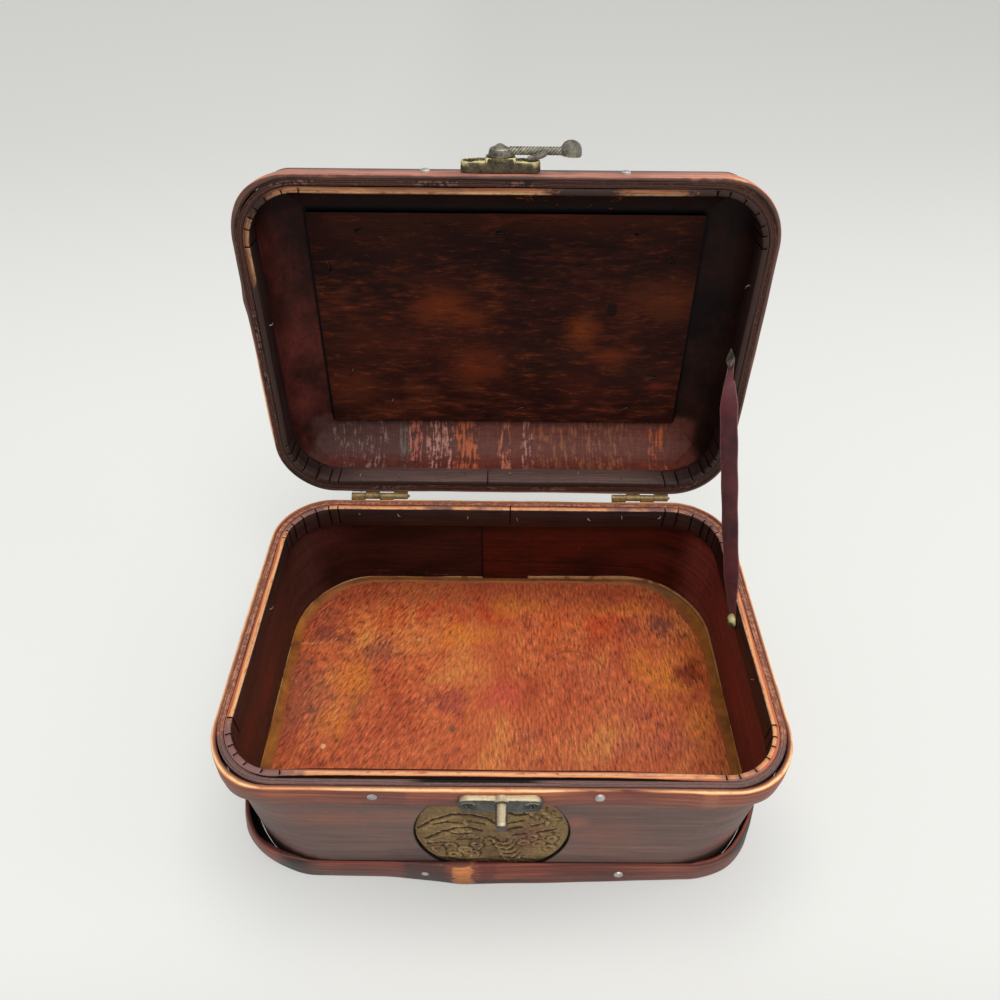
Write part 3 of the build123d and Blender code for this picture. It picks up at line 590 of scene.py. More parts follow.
def bamboo_finish(name, outline, tones, rim_tones, worn_tone, worn_share, patches,
                  inside=-1.5, low_edge=None, worn_places=()):
    """Stained bamboo: `tones` dark to light, `rim_tones` for its rim face, inner to outer."""
    paint = Finish(name)
    along, out, rim, fibres, strands, broad, mottle = strip_maps(
        paint, (38, 2100, 1), (16, 620, 1), (20, 60, 1), (240, 420, 1), (1.6, 1.5))
    colour = paint.ramp(broad * 0.5 + strands * 0.5, (0.34, tones[0]), (0.5, tones[1]),
                        (0.68, tones[2]))
    for x, reach, tone, amount in patches:
        near = paint.around(along, front_run(x, outline), reach, (strands + mottle - 1.0) * 0.005,
                            (1.15, 0.7))
        colour = colour.lay(near * amount, paint.shade(tone, 0.45 + strands * 0.5 + mottle * 0.6))
    # painted shade: the face is drawn lighter near the rim and darker away from it
    height = rim.rise(0.0, 0.012)
    colour = colour.shade((0.48 + fibres * 0.7 + mottle * 0.36) * (1.18 - height * 0.32))
    rim_colour = paint.mix((out + (broad - 0.5) * 0.002).rise(-0.0021, -0.0008), rim_tones[0],
                           rim_tones[1])
    rim_colour = rim_colour.shade(0.40 + fibres * 0.75 + mottle * 0.5)
    ragged = (mottle - 0.5) * 0.0004
    on_rim = (rim + ragged).rise(0.42 * MM, 0.16 * MM)
    colour = colour.lay(on_rim, rim_colour)
    corner = ((rim + ragged - 0.0003) ** 2.0 + (out + ragged + 0.00035) ** 2.0) ** 0.5
    stretch = broad.rise(0.56 - worn_share, 0.64 - worn_share)
    for place, reach in worn_places:
        stretch = stretch.most(paint.around(along, place, reach, (mottle - 0.5) * 0.02))
    worn = corner.rise(1.05 * MM, 0.35 * MM) * stretch
    colour = colour.lay(worn * 0.9, worn_tone)
    # a cream line in the middle of the worn edge: worn wood and a painted highlight
    colour = colour.lay(corner.rise(0.62 * MM, 0.15 * MM) * stretch * mottle.rise(0.2, 0.45),
                        CREAM_WEAR_AND_HIGHLIGHT)
    if low_edge:
        line = (rim - low_edge * MM).size().rise(0.8 * MM, 0.1 * MM) * broad.rise(0.5, 0.6)
        colour = colour.lay(line * 0.5, worn_tone)
    # painted shade: deep in the band's gap its inner face is drawn nearly black
    colour = colour.lay(out.rise(inside * MM, (inside - 0.7) * MM) * rim.rise(0.3 * MM, 1.2 * MM),
                        SHADE_AND_JOINT_BLACK)
    return paint.finish(colour, fibres * 0.6 + mottle * 0.4, 0.09, 0.36 + mottle * 0.25, 0.32)


upper_bamboo = bamboo_finish(
    "bamboo_upper", RIM_BAND, ((92, 44, 34), (132, 66, 48), (172, 96, 60)),
    ((92, 60, 54), (160, 104, 82)), (226, 146, 84), 0.2,
    ((73.8, 2.6, (160, 96, 66), 0.7), (-95, 12, (104, 64, 50), 0.5),
     (-38, 5.0, (92, 48, 44), 0.5), (-46, 5, (84, 48, 44), 0.4)), low_edge=12.0)
foot_bamboo = bamboo_finish(
    "bamboo_foot", FOOT_BAND, ((66, 30, 28), (108, 50, 38), (150, 78, 50)),
    ((60, 32, 30), (112, 62, 54)), (150, 88, 66), 0.0,
    ((-15.0, 4.2, (206, 128, 70), 0.85), (-30.0, 9.5, (66, 42, 40), 0.9),
     (-5.0, 4.0, (96, 40, 36), 0.7), (-80.0, 10.0, (84, 54, 48), 0.5)), inside=-1.0)
lid_bamboo = bamboo_finish(
    "bamboo_lid", RIM_BAND, ((122, 72, 60), (168, 108, 90), (206, 146, 122)),
    ((26, 14, 12), (98, 68, 58)), (186, 124, 98), -0.06,
    ((-98, 8, (206, 124, 76), 0.6), (95, 14, (214, 124, 84), 0.7)),
    worn_places=((length_of(RIM_BAND) * 0.22, 30), (0.0, 60), (length_of(RIM_BAND), 60)))

# %% [markdown]
# Each band is a hoop with a crowned outside and eased edges. Real split bamboo isn't straight,
# so short tables say how far each band's lower and upper edge stands out along the front and
# round the front corners. At a corner the band stands off the ply, and its inner face runs down
# to the ply, which leaves a dark pocket behind it.

# %% Bamboo bands
UPPER_FRONT = ((-120, 0), (-107, 0.3), (-101, 1.0), (-96, 1.0), (-92, 0.5), (-85, -0.3),
               (-65, -0.35), (-45, -0.2), (-25, 0.3), (-1, 0.7), (14, 0.1), (27, -0.5), (48, -0.6),
               (61, -0.4), (69, -0.2), (74, 0.5), (79, -0.2), (89, 0), (97, 0.6), (107, 0.3),
               (120, 0))
FOOT_FRONT_LOW = ((-150, 0.6), (-116, 1.8), (-111.6, 1.2), (-107, 0.5), (-101.7, -0.3),
                  (-94.9, -1.3), (-87.6, -1.9), (-75, -1.2), (-60, -1.1), (-44, -0.8), (-29, 0.4),
                  (-19, 1.4), (-16, 1.9), (-12, 1.5), (0, 1.2), (24, 0.9), (48, 0.15), (72, -0.8),
                  (86, -0.9), (95, -0.4), (108, -0.6), (116, -1.0), (150, 0))
FOOT_FRONT_HIGH = ((-150, -0.4), (-116, -0.9), (-108, -0.5), (-101, -0.1), (-94, -0.5),
                   (-90, -1.2), (-82, -1.7), (-72, -1.0), (-43, -0.6), (-28, 0.3), (-19, 0.6),
                   (-15, 1.0), (-11, 0.1), (23, -0.7), (54, -0.9), (76, -1.0), (86, -1.0),
                   (95, -1.6), (102, -2.4), (110, -2.6), (120, -1.8), (150, -0.4))


def corner_run(outline, which):
    """The middle of a corner: 0 back left, 1 front left, 2 front right, 3 back right."""
    knots = outline_at(0.0, outline)[3]
    first = 1 + 2 * which
    return (knots[first] + knots[first + 1]) / 2


def from_table(run, outline, table):
    """Eases between a table's places, which are measured from the front's middle."""
    places, values = zip(*table)
    at = run - length_of(outline) / 2
    return sum(np.interp(at + shift, places, values) for shift in (-2.5, -1, 1, 2.5)) / 4


def support(turn, outline):
    """How far a rounded rectangle reaches along a direction."""
    width, depth, radius = outline
    return ((width / 2 - radius) * np.abs(np.cos(turn))
            + (depth / 2 - radius) * np.abs(np.sin(turn)) + radius)


def band_section(run, outline, ply, low, high, out_low, out_high, edge=0.7, rim_low=False):
    """A band 2 mm thick whose inner face meets the ply at the edge away from the rim."""
    turn = outline_at(run, outline)[2]
    gap = np.maximum(support(turn, outline) - support(turn, ply), 2.0)
    away, near = -gap + 0.1, np.minimum(np.minimum(out_low, out_high) - 1.6, -1.9)
    near = np.maximum(near, away)
    inner_low, inner_high = (near, away) if rim_low else (away, near)
    middle = (out_low + out_high) / 2
    return [(inner_low, low + 0.3), (inner_low + 0.3, low), (out_low - edge, low),
            (out_low - edge * 0.3, low + edge * 0.3), (out_low, low + edge),
            (middle + 0.25, (low + high) / 2), (out_high, high - edge),
            (out_high - edge * 0.3, high - edge * 0.3), (out_high - edge, high),
            (inner_high + 0.3, high), (inner_high, high - 0.3)]


def upper_band_section(run):
    length = length_of(RIM_BAND)
    out = waver(run, length, (0.10, 5, 0.1), (0.08, 11, 0.5), (0.04, 31, 0.2))
    out = out + from_table(run, RIM_BAND, UPPER_FRONT) - 0.1
    high = BASE_RIM + waver(run, length, (0.08, 4, 0.2), (0.06, 13, 0.7)) - 0.12
    low = 58 + waver(run, length, (0.25, 3, 0.4), (0.12, 9, 0.1))
    return band_section(run, RIM_BAND, PLY_RIM, low, high, out, out)


def foot_band_section(run):
    length = length_of(FOOT_BAND)
    out = waver(run, length, (0.08, 4, 0.3), (0.08, 9, 0.8), (0.04, 27, 0.1)) - 0.1
    node = bump(run, front_run(-15.5, FOOT_BAND), 4)
    high = 14.6 + waver(run, length, (0.12, 3, 0.1), (0.10, 8, 0.5)) + 0.4 * node
    return band_section(run, FOOT_BAND, PLY_FOOT, 0.0, high,
                        out + from_table(run, FOOT_BAND, FOOT_FRONT_LOW),
                        out + from_table(run, FOOT_BAND, FOOT_FRONT_HIGH))


def lid_band_section(run):
    length = length_of(RIM_BAND)
    out = waver(run, length, (0.12, 4, 0.6), (0.08, 10, 0.2), (0.04, 29, 0.5)) - 0.2
    out = out + 0.7 * bump(run, length * 0.285, 5) - 0.8 * bump(run, corner_run(RIM_BAND, 0), 22)
    out = out + 0.9 * bump(run, corner_run(RIM_BAND, 1), 10) + 0.5 * bump(run, length * 0.75, 30)
    far = out - 1.0 - 0.3 * bump(run, front_run(-60, RIM_BAND), 30)
    low = LID_RIM + waver(run, length, (0.07, 5, 0.2), (0.05, 14, 0.7)) + 0.1
    return band_section(run, RIM_BAND, PLY_RIM, low, LID_RIM + 12, out,
                        np.maximum(far, -1.5), 0.6, rim_low=True)


for name, outline, section, rim, body, finish, node in (
        ("upper", RIM_BAND, upper_band_section, BASE_RIM, "base", upper_bamboo, "base_upper_band"),
        ("foot", FOOT_BAND, foot_band_section, FOOT_TOP, "base", foot_bamboo, "base_lower_band"),
        ("lid", RIM_BAND, lid_band_section, LID_RIM, "lid", lid_bamboo, "lid_band")):
    band = hoop("bamboo_band_" + name, outline, section, rim, BAND_POINTS)
    seat(band, body, finish, node)

# %% [markdown]
# The liners are thicker strips bent round the inside of each rim. Saw kerfs let them turn the
# corners, so each corner shows seven dark cuts. A kerf is a thin blade modelled once, copied
# round the corners and cut away from the hoop. The front of the lower liner bows inwards.
# The rim face is bare orange wood in some stretches and grey-brown in others.

# %% Liner finish
def liner_finish(name, grey, bare_tones, face_tones, bare_share, patches, lit_back=None):
    """A dark stained strip whose rim face is bare wood in stretches."""
    paint = Finish(name)
    along, out, rim, fibres, strands, broad, mottle = strip_maps(
        paint, (60, 2200, 1), (26, 800, 1), (26, 26, 1), (330, 700, 1), (1.5, 1.6))
    colour = paint.ramp(broad * 0.6 + strands * 0.4, (0.36, face_tones[0]), (0.62, face_tones[1]))
    # painted light: the back stretch, which faces up when the lid is open, gets lighter tones as
    # if lit
    if lit_back:
        back = (along - LINER_LENGTH * MM / 2).size().rise(0.23, 0.27)
        colour = colour.lay(back, paint.mix(strands, lit_back[0], lit_back[1]))
    colour = colour.shade(0.3 + fibres * 0.9 + mottle * 0.5)
    bare = broad.rise(0.56 - bare_share, 0.66 - bare_share)
    for place, reach, amount in patches:
        bare = bare + paint.around(along, place, reach, (mottle - 0.5) * 0.02) * amount
    bare = bare.least(1.0).most(0.0)
    rim_colour = paint.mix(bare, grey, paint.mix(strands, bare_tones[0], bare_tones[1]))
    line = (out + 0.0016 + (broad - 0.5) * 0.003).size().rise(0.75 * MM, 0.15 * MM)
    rim_colour = rim_colour.lay(line * bare * 0.85, bare_tones[2])
    rim_colour = rim_colour.shade(0.74 + fibres * 0.3 + mottle * 0.26)
    on_rim = (rim + (mottle - 0.5) * 0.0006).rise(0.5 * MM, 0.2 * MM)
    colour = colour.lay(on_rim, rim_colour)
    inner = ((rim - 0.0002) ** 2.0 + (out + 0.0024) ** 2.0) ** 0.5
    worn = inner.rise(0.6 * MM, 0.15 * MM) * bare * mottle.rise(0.3, 0.55)
    # a cream line on the worn inner edge: worn wood and a painted highlight
    colour = colour.lay(worn * 0.55, CREAM_WEAR_AND_HIGHLIGHT)
    # painted shade: inside the kerf cuts the colour is drawn nearly black
    colour = colour.lay(out.rise(-3.0 * MM, -3.5 * MM), SHADE_AND_JOINT_BLACK)
    return paint.finish(colour, fibres * 0.6 + mottle * 0.4, 0.12, 0.46 + mottle * 0.2, 0.25)


LINER_LENGTH = length_of(LINER)
lower_liner_wood = liner_finish(
    "liner_lower", (132, 94, 88), ((158, 84, 60), (200, 112, 76), (240, 164, 106)),
    ((30, 15, 13), (58, 36, 31)), 0.16,
    ((LINER_LENGTH / 2, 70, 0.8), (LINER_LENGTH * 0.25, 40, 0.7), (LINER_LENGTH * 0.75, 40, 0.7),
     (corner_run(LINER, 1), 19, -1.2), (corner_run(LINER, 0), 14, -0.9),
     (corner_run(LINER, 3), 8, -0.7)))
# its last two tones are painted light on the back stretch
lid_liner_wood = liner_finish(
    "liner_lid", (54, 36, 30), ((104, 56, 36), (150, 90, 54), (176, 122, 84)),
    ((26, 14, 13), (52, 34, 30)), -0.10,
    ((front_run(-72, LINER), 20, 0.7), (front_run(-34, LINER), 26, 0.6),
     (front_run(0, LINER), 16, 1.0), (front_run(56, LINER), 13, 0.6),
     (LINER_LENGTH * 0.32, 14, 0.55)),
    ((72, 52, 48), (112, 88, 82)))

# %% [markdown]
# Both liners are the same hoop at two heights. The lid's is turned over, so that its rim face
# looks down when the lid is shut. The blades carry both UV maps too, so that the inside of a cut
# reads as deep inside the strip and is drawn nearly black as painted shade.

# %% Liners
LINER_THICK, KERFS_A_CORNER = 2.6, 7
LINER_LOW, LINER_HIGH = 58.5, 81.9       # the heights of the edges away from the rims


def liner_section(low, high, bow, flip=False):
    """The strip's cross-section, bowed in at the front; a flipped one has its rim face below."""
    def section(run):
        length = length_of(LINER)
        out = waver(run, length, (0.06, 6, 0.1), (0.05, 15, 0.6)) - 0.1
        out = out - bow * plateau(run, front_run(-84, LINER), front_run(60, LINER), 6)
        lift = waver(run, length, (0.05, 7, 0.3), (0.04, 19, 0.8))
        middle = (low + high) / 2
        inner = -LINER_THICK
        corners = [(inner, low + 0.2), (-2.4, low), (-0.2, low), (0.0, low + 0.2),
                   (0.0, high - 0.3), (-0.3, high), (-1.9, high), (-2.35, high - 0.1),
                   (inner, high - 0.45), (inner, middle)]
        corners = [(across + out, up + (lift if up > middle else 0.0)) for across, up in corners]
        return [(across, low + high - up) for across, up in corners] if flip else corners
    return section


def kerf_blades(low, high, joint_x):
    """Thin blades at each corner, and one for the butt joint at the back."""
    blade = fresh(bpy.ops.mesh.primitive_cube_add, "kerf_blade", size=1.0)
    put(blade, Matrix.Diagonal((0.0034, 0.00055, (high - low + 4) * MM, 1)))
    for title in ("run", "edge"):
        add_map(blade, title, np.tile([-4 * MM, 4 * MM], len(blade.data.loops)))
    knots = outline_at(0.0, LINER)[3]
    middle = (low + high) / 2
    places = []
    for which in range(4):
        first, last = knots[1 + 2 * which], knots[2 + 2 * which]
        for count in range(KERFS_A_CORNER):
            run = first + count * (last - first) / (KERFS_A_CORNER - 1)
            x, y, turn, _ = outline_at(run, LINER)
            wobble = 0.06 * math.sin(5.0 * count + 3.0 * which)
            reach = LINER[2] - LINER_THICK + 0.35 * math.sin(7.0 * count + which)
            places.append(place_mm(float(x), float(y), middle)
                          @ Matrix.Rotation(float(turn) + wobble, 4, "Z")
                          @ place_mm(reach, 0, 0))
    places.append(place_mm(joint_x, (LINER[1] - LINER_THICK) / 2, middle) @ turn_about("Z", 90))
    return copies(blade, places, "kerf_blades")


for name, body, low, high, bow, joint_x, finish in (
        ("lower", "base", LINER_LOW, BASE_RIM, 1.3, 3.6, lower_liner_wood),
        ("lid", "lid", LID_RIM, LINER_HIGH, 0.4, -7.6, lid_liner_wood)):
    on_lid = body == "lid"
    liner = hoop("kerfed_liner_" + name, LINER, liner_section(low, high, bow, on_lid),
                 low if on_lid else high)
    carve(liner, kerf_blades(low, high, joint_x))
    seat(liner, body, finish, body + "_liner")

# %% [markdown]
# The bent ply keeps its plain solids: their form is right, and only their finish is missing.
# The same sheet is dark maroon inside and greyer outside, where light and hands have dulled it,
# and its bare edge shows at each rim. Faces are sorted by the way they point.

# %% Ply finishes
MEDALLION_X, MEDALLION_Z = -3.4, 36.0      # the middle of the round window in the front wall


def in_lid(y, z):
    """Distances from the hinge along the open lid, towards its front and towards its top."""
    turn = math.radians(LID_OPEN)
    y, z = y - hinge.y, z - hinge.z
    return z * math.sin(turn) - y * math.cos(turn), y * math.sin(turn) + z * math.cos(turn)


def ply_base_inside():
    """Dark maroon inside of the tray, redder to the right of the lap joint at the back."""
    paint = Finish("ply_base_inside")
    x, y, z = paint.parts()
    grain = paint.cloud((26, 26, 950), 4, 0.65).keen(1.9)
    upright = paint.cloud((500, 500, 24), 3, 0.6).keen(1.6)
    broad = paint.cloud((30, 30, 70), 4, 0.62)
    mottle = paint.cloud(330, 3, 0.6).keen(1.5)
    right = x.rise(-10.6 * MM, -9.6 * MM)
    dark = paint.ramp(broad, (0.36, (36, 15, 12)), (0.6, (66, 28, 22)))
    red = paint.ramp(broad, (0.36, (50, 12, 7)), (0.6, (84, 26, 14)))
    colour = paint.mix(right, dark, red)
    ragged = broad * 0.4 + grain * 0.3 + mottle * 0.3
    colour = paint.spots(colour, y, z, ragged, (
        ((-8, 32), (18, 9), (150, 36, 18), 0.8), ((-34, 38), (14, 10), (140, 36, 20), 0.7),
        ((10, 52), (26, 8), (112, 46, 38), 0.6)))
    colour = paint.spots(colour, x, z, ragged, (
        ((-88, 50), (16, 10), (92, 44, 44), 0.5), ((30, 48), (60, 5), (92, 32, 24), 0.6),
        ((78, 34), (30, 6), (96, 40, 28), 0.5), ((-50, 40), (40, 5), (66, 30, 26), 0.5)))
    # the side walls are given lighter tones than the back, partly their own colour and partly a
    # painted sheen on the greyish left wall
    side = x.size().rise(0.088, 0.1)
    colour = colour.lay(side * 0.75, paint.mix(right, (70, 40, 34), (128, 60, 52)))
    crack = (z - 0.0292 + (x + 0.009) * 0.085 + (broad - 0.5) * 0.006).size()
    crack = crack.rise(0.55 * MM, 0.1 * MM) * right * x.rise(0.095, 0.08)
    lap = (x + 10.3 * MM).size().rise(0.9 * MM, 0.2 * MM) * y.rise(0.06, 0.065)
    foot = z.rise(0.021, 0.013) * x.rise(-0.012, -0.014) * x.rise(-0.075, -0.06)
    scraped = foot * (grain * 0.5 + mottle * 0.5).rise(0.66, 0.76)
    dust = paint.cloud(1500, 2, 0.6).keen(1.8)
    colour = colour.shade(grain * 1.05 + mottle * 0.45 + upright * side * 0.35 + (dust - 0.5)
                          * 0.5 + 0.08)
    # painted shade in the crack, and the lap joint's dark line
    colour = colour.lay(crack.most(lap) * 0.85, SHADE_AND_JOINT_BLACK)
    colour = colour.lay(scraped * 0.45, (190, 150, 130))
    ticks = mottle.rise(0.84, 0.95) * broad.rise(0.5, 0.6)
    colour = colour.lay(ticks * 0.35, (160, 120, 104))
    return paint.finish(colour, grain * 0.6 + mottle * 0.4, 0.08, 0.42 + mottle * 0.2, 0.16)


def ply_lid_inside():
    """The lid's coves: maroon at the left; elsewhere the same wood is drawn near-black as painted
    shade, and darker still at the front.
    """
    paint = Finish("ply_lid_inside")
    x, y, z = paint.parts()
    along, _ = in_lid(y, z)
    grain = paint.cloud((800, 90, 90), 4, 0.65).keen(1.9)
    flat = paint.cloud((60, 700, 700), 4, 0.65).keen(1.7)
    broad = paint.cloud(40, 4, 0.62)
    mottle = paint.cloud(300, 3, 0.62).keen(1.6)
    left = paint.ramp(broad, (0.38, (52, 24, 18)), (0.6, (94, 42, 36)))
    shaded_black = paint.ramp(broad, (0.38, (20, 9, 7)), (0.62, (48, 24, 18)))
    # painted shade: away from the left cove the same wood is drawn near-black
    colour = paint.mix(x.rise(-0.07, -0.088), shaded_black, left)
    front = along.rise(0.125, 0.13)
    colour = colour.lay(front * 0.8, (30, 9, 6))
    flecks = (flat * 0.5 + mottle * 0.5).rise(0.6, 0.7)
    flecks = flecks * x.rise(-0.002, 0.01) * x.rise(0.06, 0.045)
    colour = colour.lay(front * flecks * 0.8, (140, 62, 26))
    rear = along.rise(0.029, 0.024) * x.size().rise(0.099, 0.094)
    bare = paint.ramp(x.rise(-0.08, 0.02), (0.0, (82, 52, 47)), (1.0, (106, 58, 48)))
    colour = colour.lay(rear, paint.mix(along.rise(0.012, 0.004) * 0.6, bare, (100, 34, 24)))
    dust = paint.cloud(1500, 2, 0.6).keen(1.8)
    colour = colour.shade(0.14 + flat * 0.45 + grain * 0.35 + mottle * 0.5 + dust * 0.3)
    scratch = grain * 0.6 + mottle * 0.4
    for place, reach, tone, amount in (
            (-72, 16, (142, 116, 112), 0.14), (-50, 3, (104, 98, 90), 0.24),
            (-44.5, 3, (190, 104, 84), 0.24), (-32, 7.5, (196, 136, 122), 0.22),
            (-18, 7, (190, 98, 58), 0.26), (0.5, 4, (192, 116, 88), 0.24),
            (12.5, 3, (190, 140, 128), 0.20), (40, 30, (142, 92, 58), 0.18),
            (78, 6, (190, 92, 48), 0.20)):
        zone = paint.around(x, place, reach, (broad - 0.5) * 0.01, (1.25, 0.6)) * rear
        lit = (scratch + zone * amount).rise(0.68, 0.86) * zone
        colour = colour.lay(lit * 0.75, tone)
    # painted shade: the coves are drawn nearly black along the panel's edge
    edge = paint.rim_distance(x, along - 0.076, (170, 102, 0.1)) + (mottle - 0.5) * 0.0006
    colour = colour.lay(edge.rise(2.4 * MM, 1.2 * MM), (8, 3, 2))
    return paint.finish(colour, grain * 0.6 + mottle * 0.4, 0.10, 0.44 + mottle * 0.2, 0.16)


def ply_outside():
    """Dulled grey-brown outside, with reddish streaks where the stain shows through."""
    paint = Finish("ply_outside")
    x, y, z = paint.parts()
    grain = paint.cloud((22, 22, 900), 4, 0.68).keen(1.7)
    streaks = paint.cloud((16, 16, 210), 4, 0.65)
    broad = paint.cloud((14, 14, 40), 3, 0.6)
    mottle = paint.cloud(420, 3, 0.6)
    colour = paint.ramp(streaks * 0.6 + broad * 0.4, (0.36, (84, 62, 58)), (0.5, (106, 80, 73)),
                        (0.64, (126, 86, 72)))
    ragged = streaks * 0.6 + grain * 0.4
    # the last patch, dark and grey, is painted shade beside the pocket behind the foot band's
    # front-left corner
    colour = paint.spots(colour, x, z, ragged, (
        ((40, 38), (18, 12), (134, 78, 62), 0.4), ((28, 44), (5, 4), (176, 100, 72), 0.4),
        ((92, 24), (14, 8), (124, 56, 44), 0.6), ((-66, 46), (20, 8), (140, 84, 66), 0.4),
        ((-94, 20), (12, 8), (78, 58, 54), 0.35)))
    # painted shade: the wall is drawn darker just above the foot band
    colour = colour.lay(z.rise(0.024, 0.014) * z.rise(0.0, 0.01) * 0.5, (58, 36, 32))
    colour = colour.shade(0.44 + grain * 0.62 + mottle * 0.5)
    # painted shade: a thin ring round the medallion's window is drawn nearly black
    round_it = ((x - MEDALLION_X * MM) ** 2.0 + (z - MEDALLION_Z * MM) ** 2.0) ** 0.5
    hollow = round_it.rise(30.0 * MM, 29.7 * MM) * y.rise(-60 * MM, -62 * MM)
    colour = colour.lay(hollow, SHADE_AND_JOINT_BLACK)
    return paint.finish(colour, grain * 0.7 + mottle * 0.3, 0.10, 0.46 + mottle * 0.2, 0.4)


def ply_edge(name, bare, grey, bare_share, cracked, on_lid=False):
    """The sheet's cut edge at a rim: thin plies, dark cracks between them, bare in stretches."""
    paint = Finish(name)
    x, y, z = paint.parts()
    along, _ = in_lid(y, z)
    broad = paint.cloud((26, 26, 26), 4, 0.6)
    fine = paint.cloud(620, 3, 0.65)
    out = paint.rim_distance(x, along - 0.076 if on_lid else y, PLY_RIM)
    worn = broad.rise(0.56 - bare_share, 0.62 - bare_share) * y.rise(-0.058, -0.05)
    colour = paint.mix(worn, grey, paint.mix(fine.rise(0.4, 0.6), bare[0], bare[1]))
    for inset, wander in ((0.00105, 0.0022), (0.0003, -0.0014), (0.0019, 0.0017)):
        crack = (out + inset + (broad - 0.5) * wander).size().rise(0.32 * MM, 0.08 * MM)
        colour = colour.lay(crack * fine.rise(0.36, 0.46) * cracked, (30, 16, 13))
    # painted shade: where the plies part behind the front rim the edge is drawn black
    gap = (out + (fine - 0.5) * 0.0008).rise(-0.9 * MM, -1.3 * MM) * y.rise(-0.06, -0.066)
    gap = gap * x.rise(-0.036, -0.026) * x.rise(0.018, 0.008)
    colour = colour.shade(0.66 + fine * 0.68)
    colour = colour.lay(gap, SHADE_AND_JOINT_BLACK)
    return paint.finish(colour, fine, 0.15, 0.5 + fine * 0.2, 0.2)


def dress(node, *finishes):
    """Gives a plain solid its finishes in place of the one it came with."""
    piece = nodes[node]
    piece.data.materials.clear()
    for finish in finishes:
        piece.data.materials.append(finish)
    return piece


def dress_ply(node, inside, outside, edge, points_in, at_rim):
    """Finishes a ply piece by the way its faces point."""
    piece = dress(node, inside, outside, edge)
    for face in piece.data.polygons:
        face.material_index = 2 if at_rim(face) else 0 if points_in(face) else 1


def tray_inward(face):
    way, place = face.normal, face.center
    from_window = math.hypot(place.x - MEDALLION_X * MM, place.z - MEDALLION_Z * MM)
    if place.y < -60 * MM and from_window < 31 * MM:
        return place.y > -70 * MM
    return way.x * place.x + way.y * place.y < 0 and abs(way.z) < 0.7


outside_ply, lid_inside = ply_outside(), ply_lid_inside()
base_edge = ply_edge("ply_edge_base", ((140, 88, 68), (194, 128, 100)), (122, 92, 86),
                     0.3, 0.5)
lid_edge = ply_edge("ply_edge_lid", ((40, 24, 20), (122, 88, 76)), (82, 52, 42), 0.06,
                    0.85, True)
dress_ply("base_wall", ply_base_inside(), outside_ply, base_edge, tray_inward,
          lambda face: face.normal.z > 0.7 and face.center.z > 69 * MM)
lid_middle = Vector((0, 0.0935, 0.1445))
to_rim = SWING.to_3x3() @ Vector((0, 0, -1))
for side in ("front", "rear", "left", "right"):
    dress_ply(f"lid_{side}_side", lid_inside, outside_ply, lid_edge,
              lambda face: face.normal.dot(lid_middle - face.center) > 0,
              lambda face: (face.normal.dot(to_rim) > 0.9
                           and (face.center - hinge).dot(to_rim) > -2 * MM))
dress("lid_top_panel", outside_ply)

# %% [markdown]
# The floor and the lid's inner panel are varnished boards. The floor is the brightest surface
# on the box: orange and gold with red and purple-brown clouds, and short dark ticks of grain
# that lean one way on the left and stand up on the right. A few clouds are placed one by one.

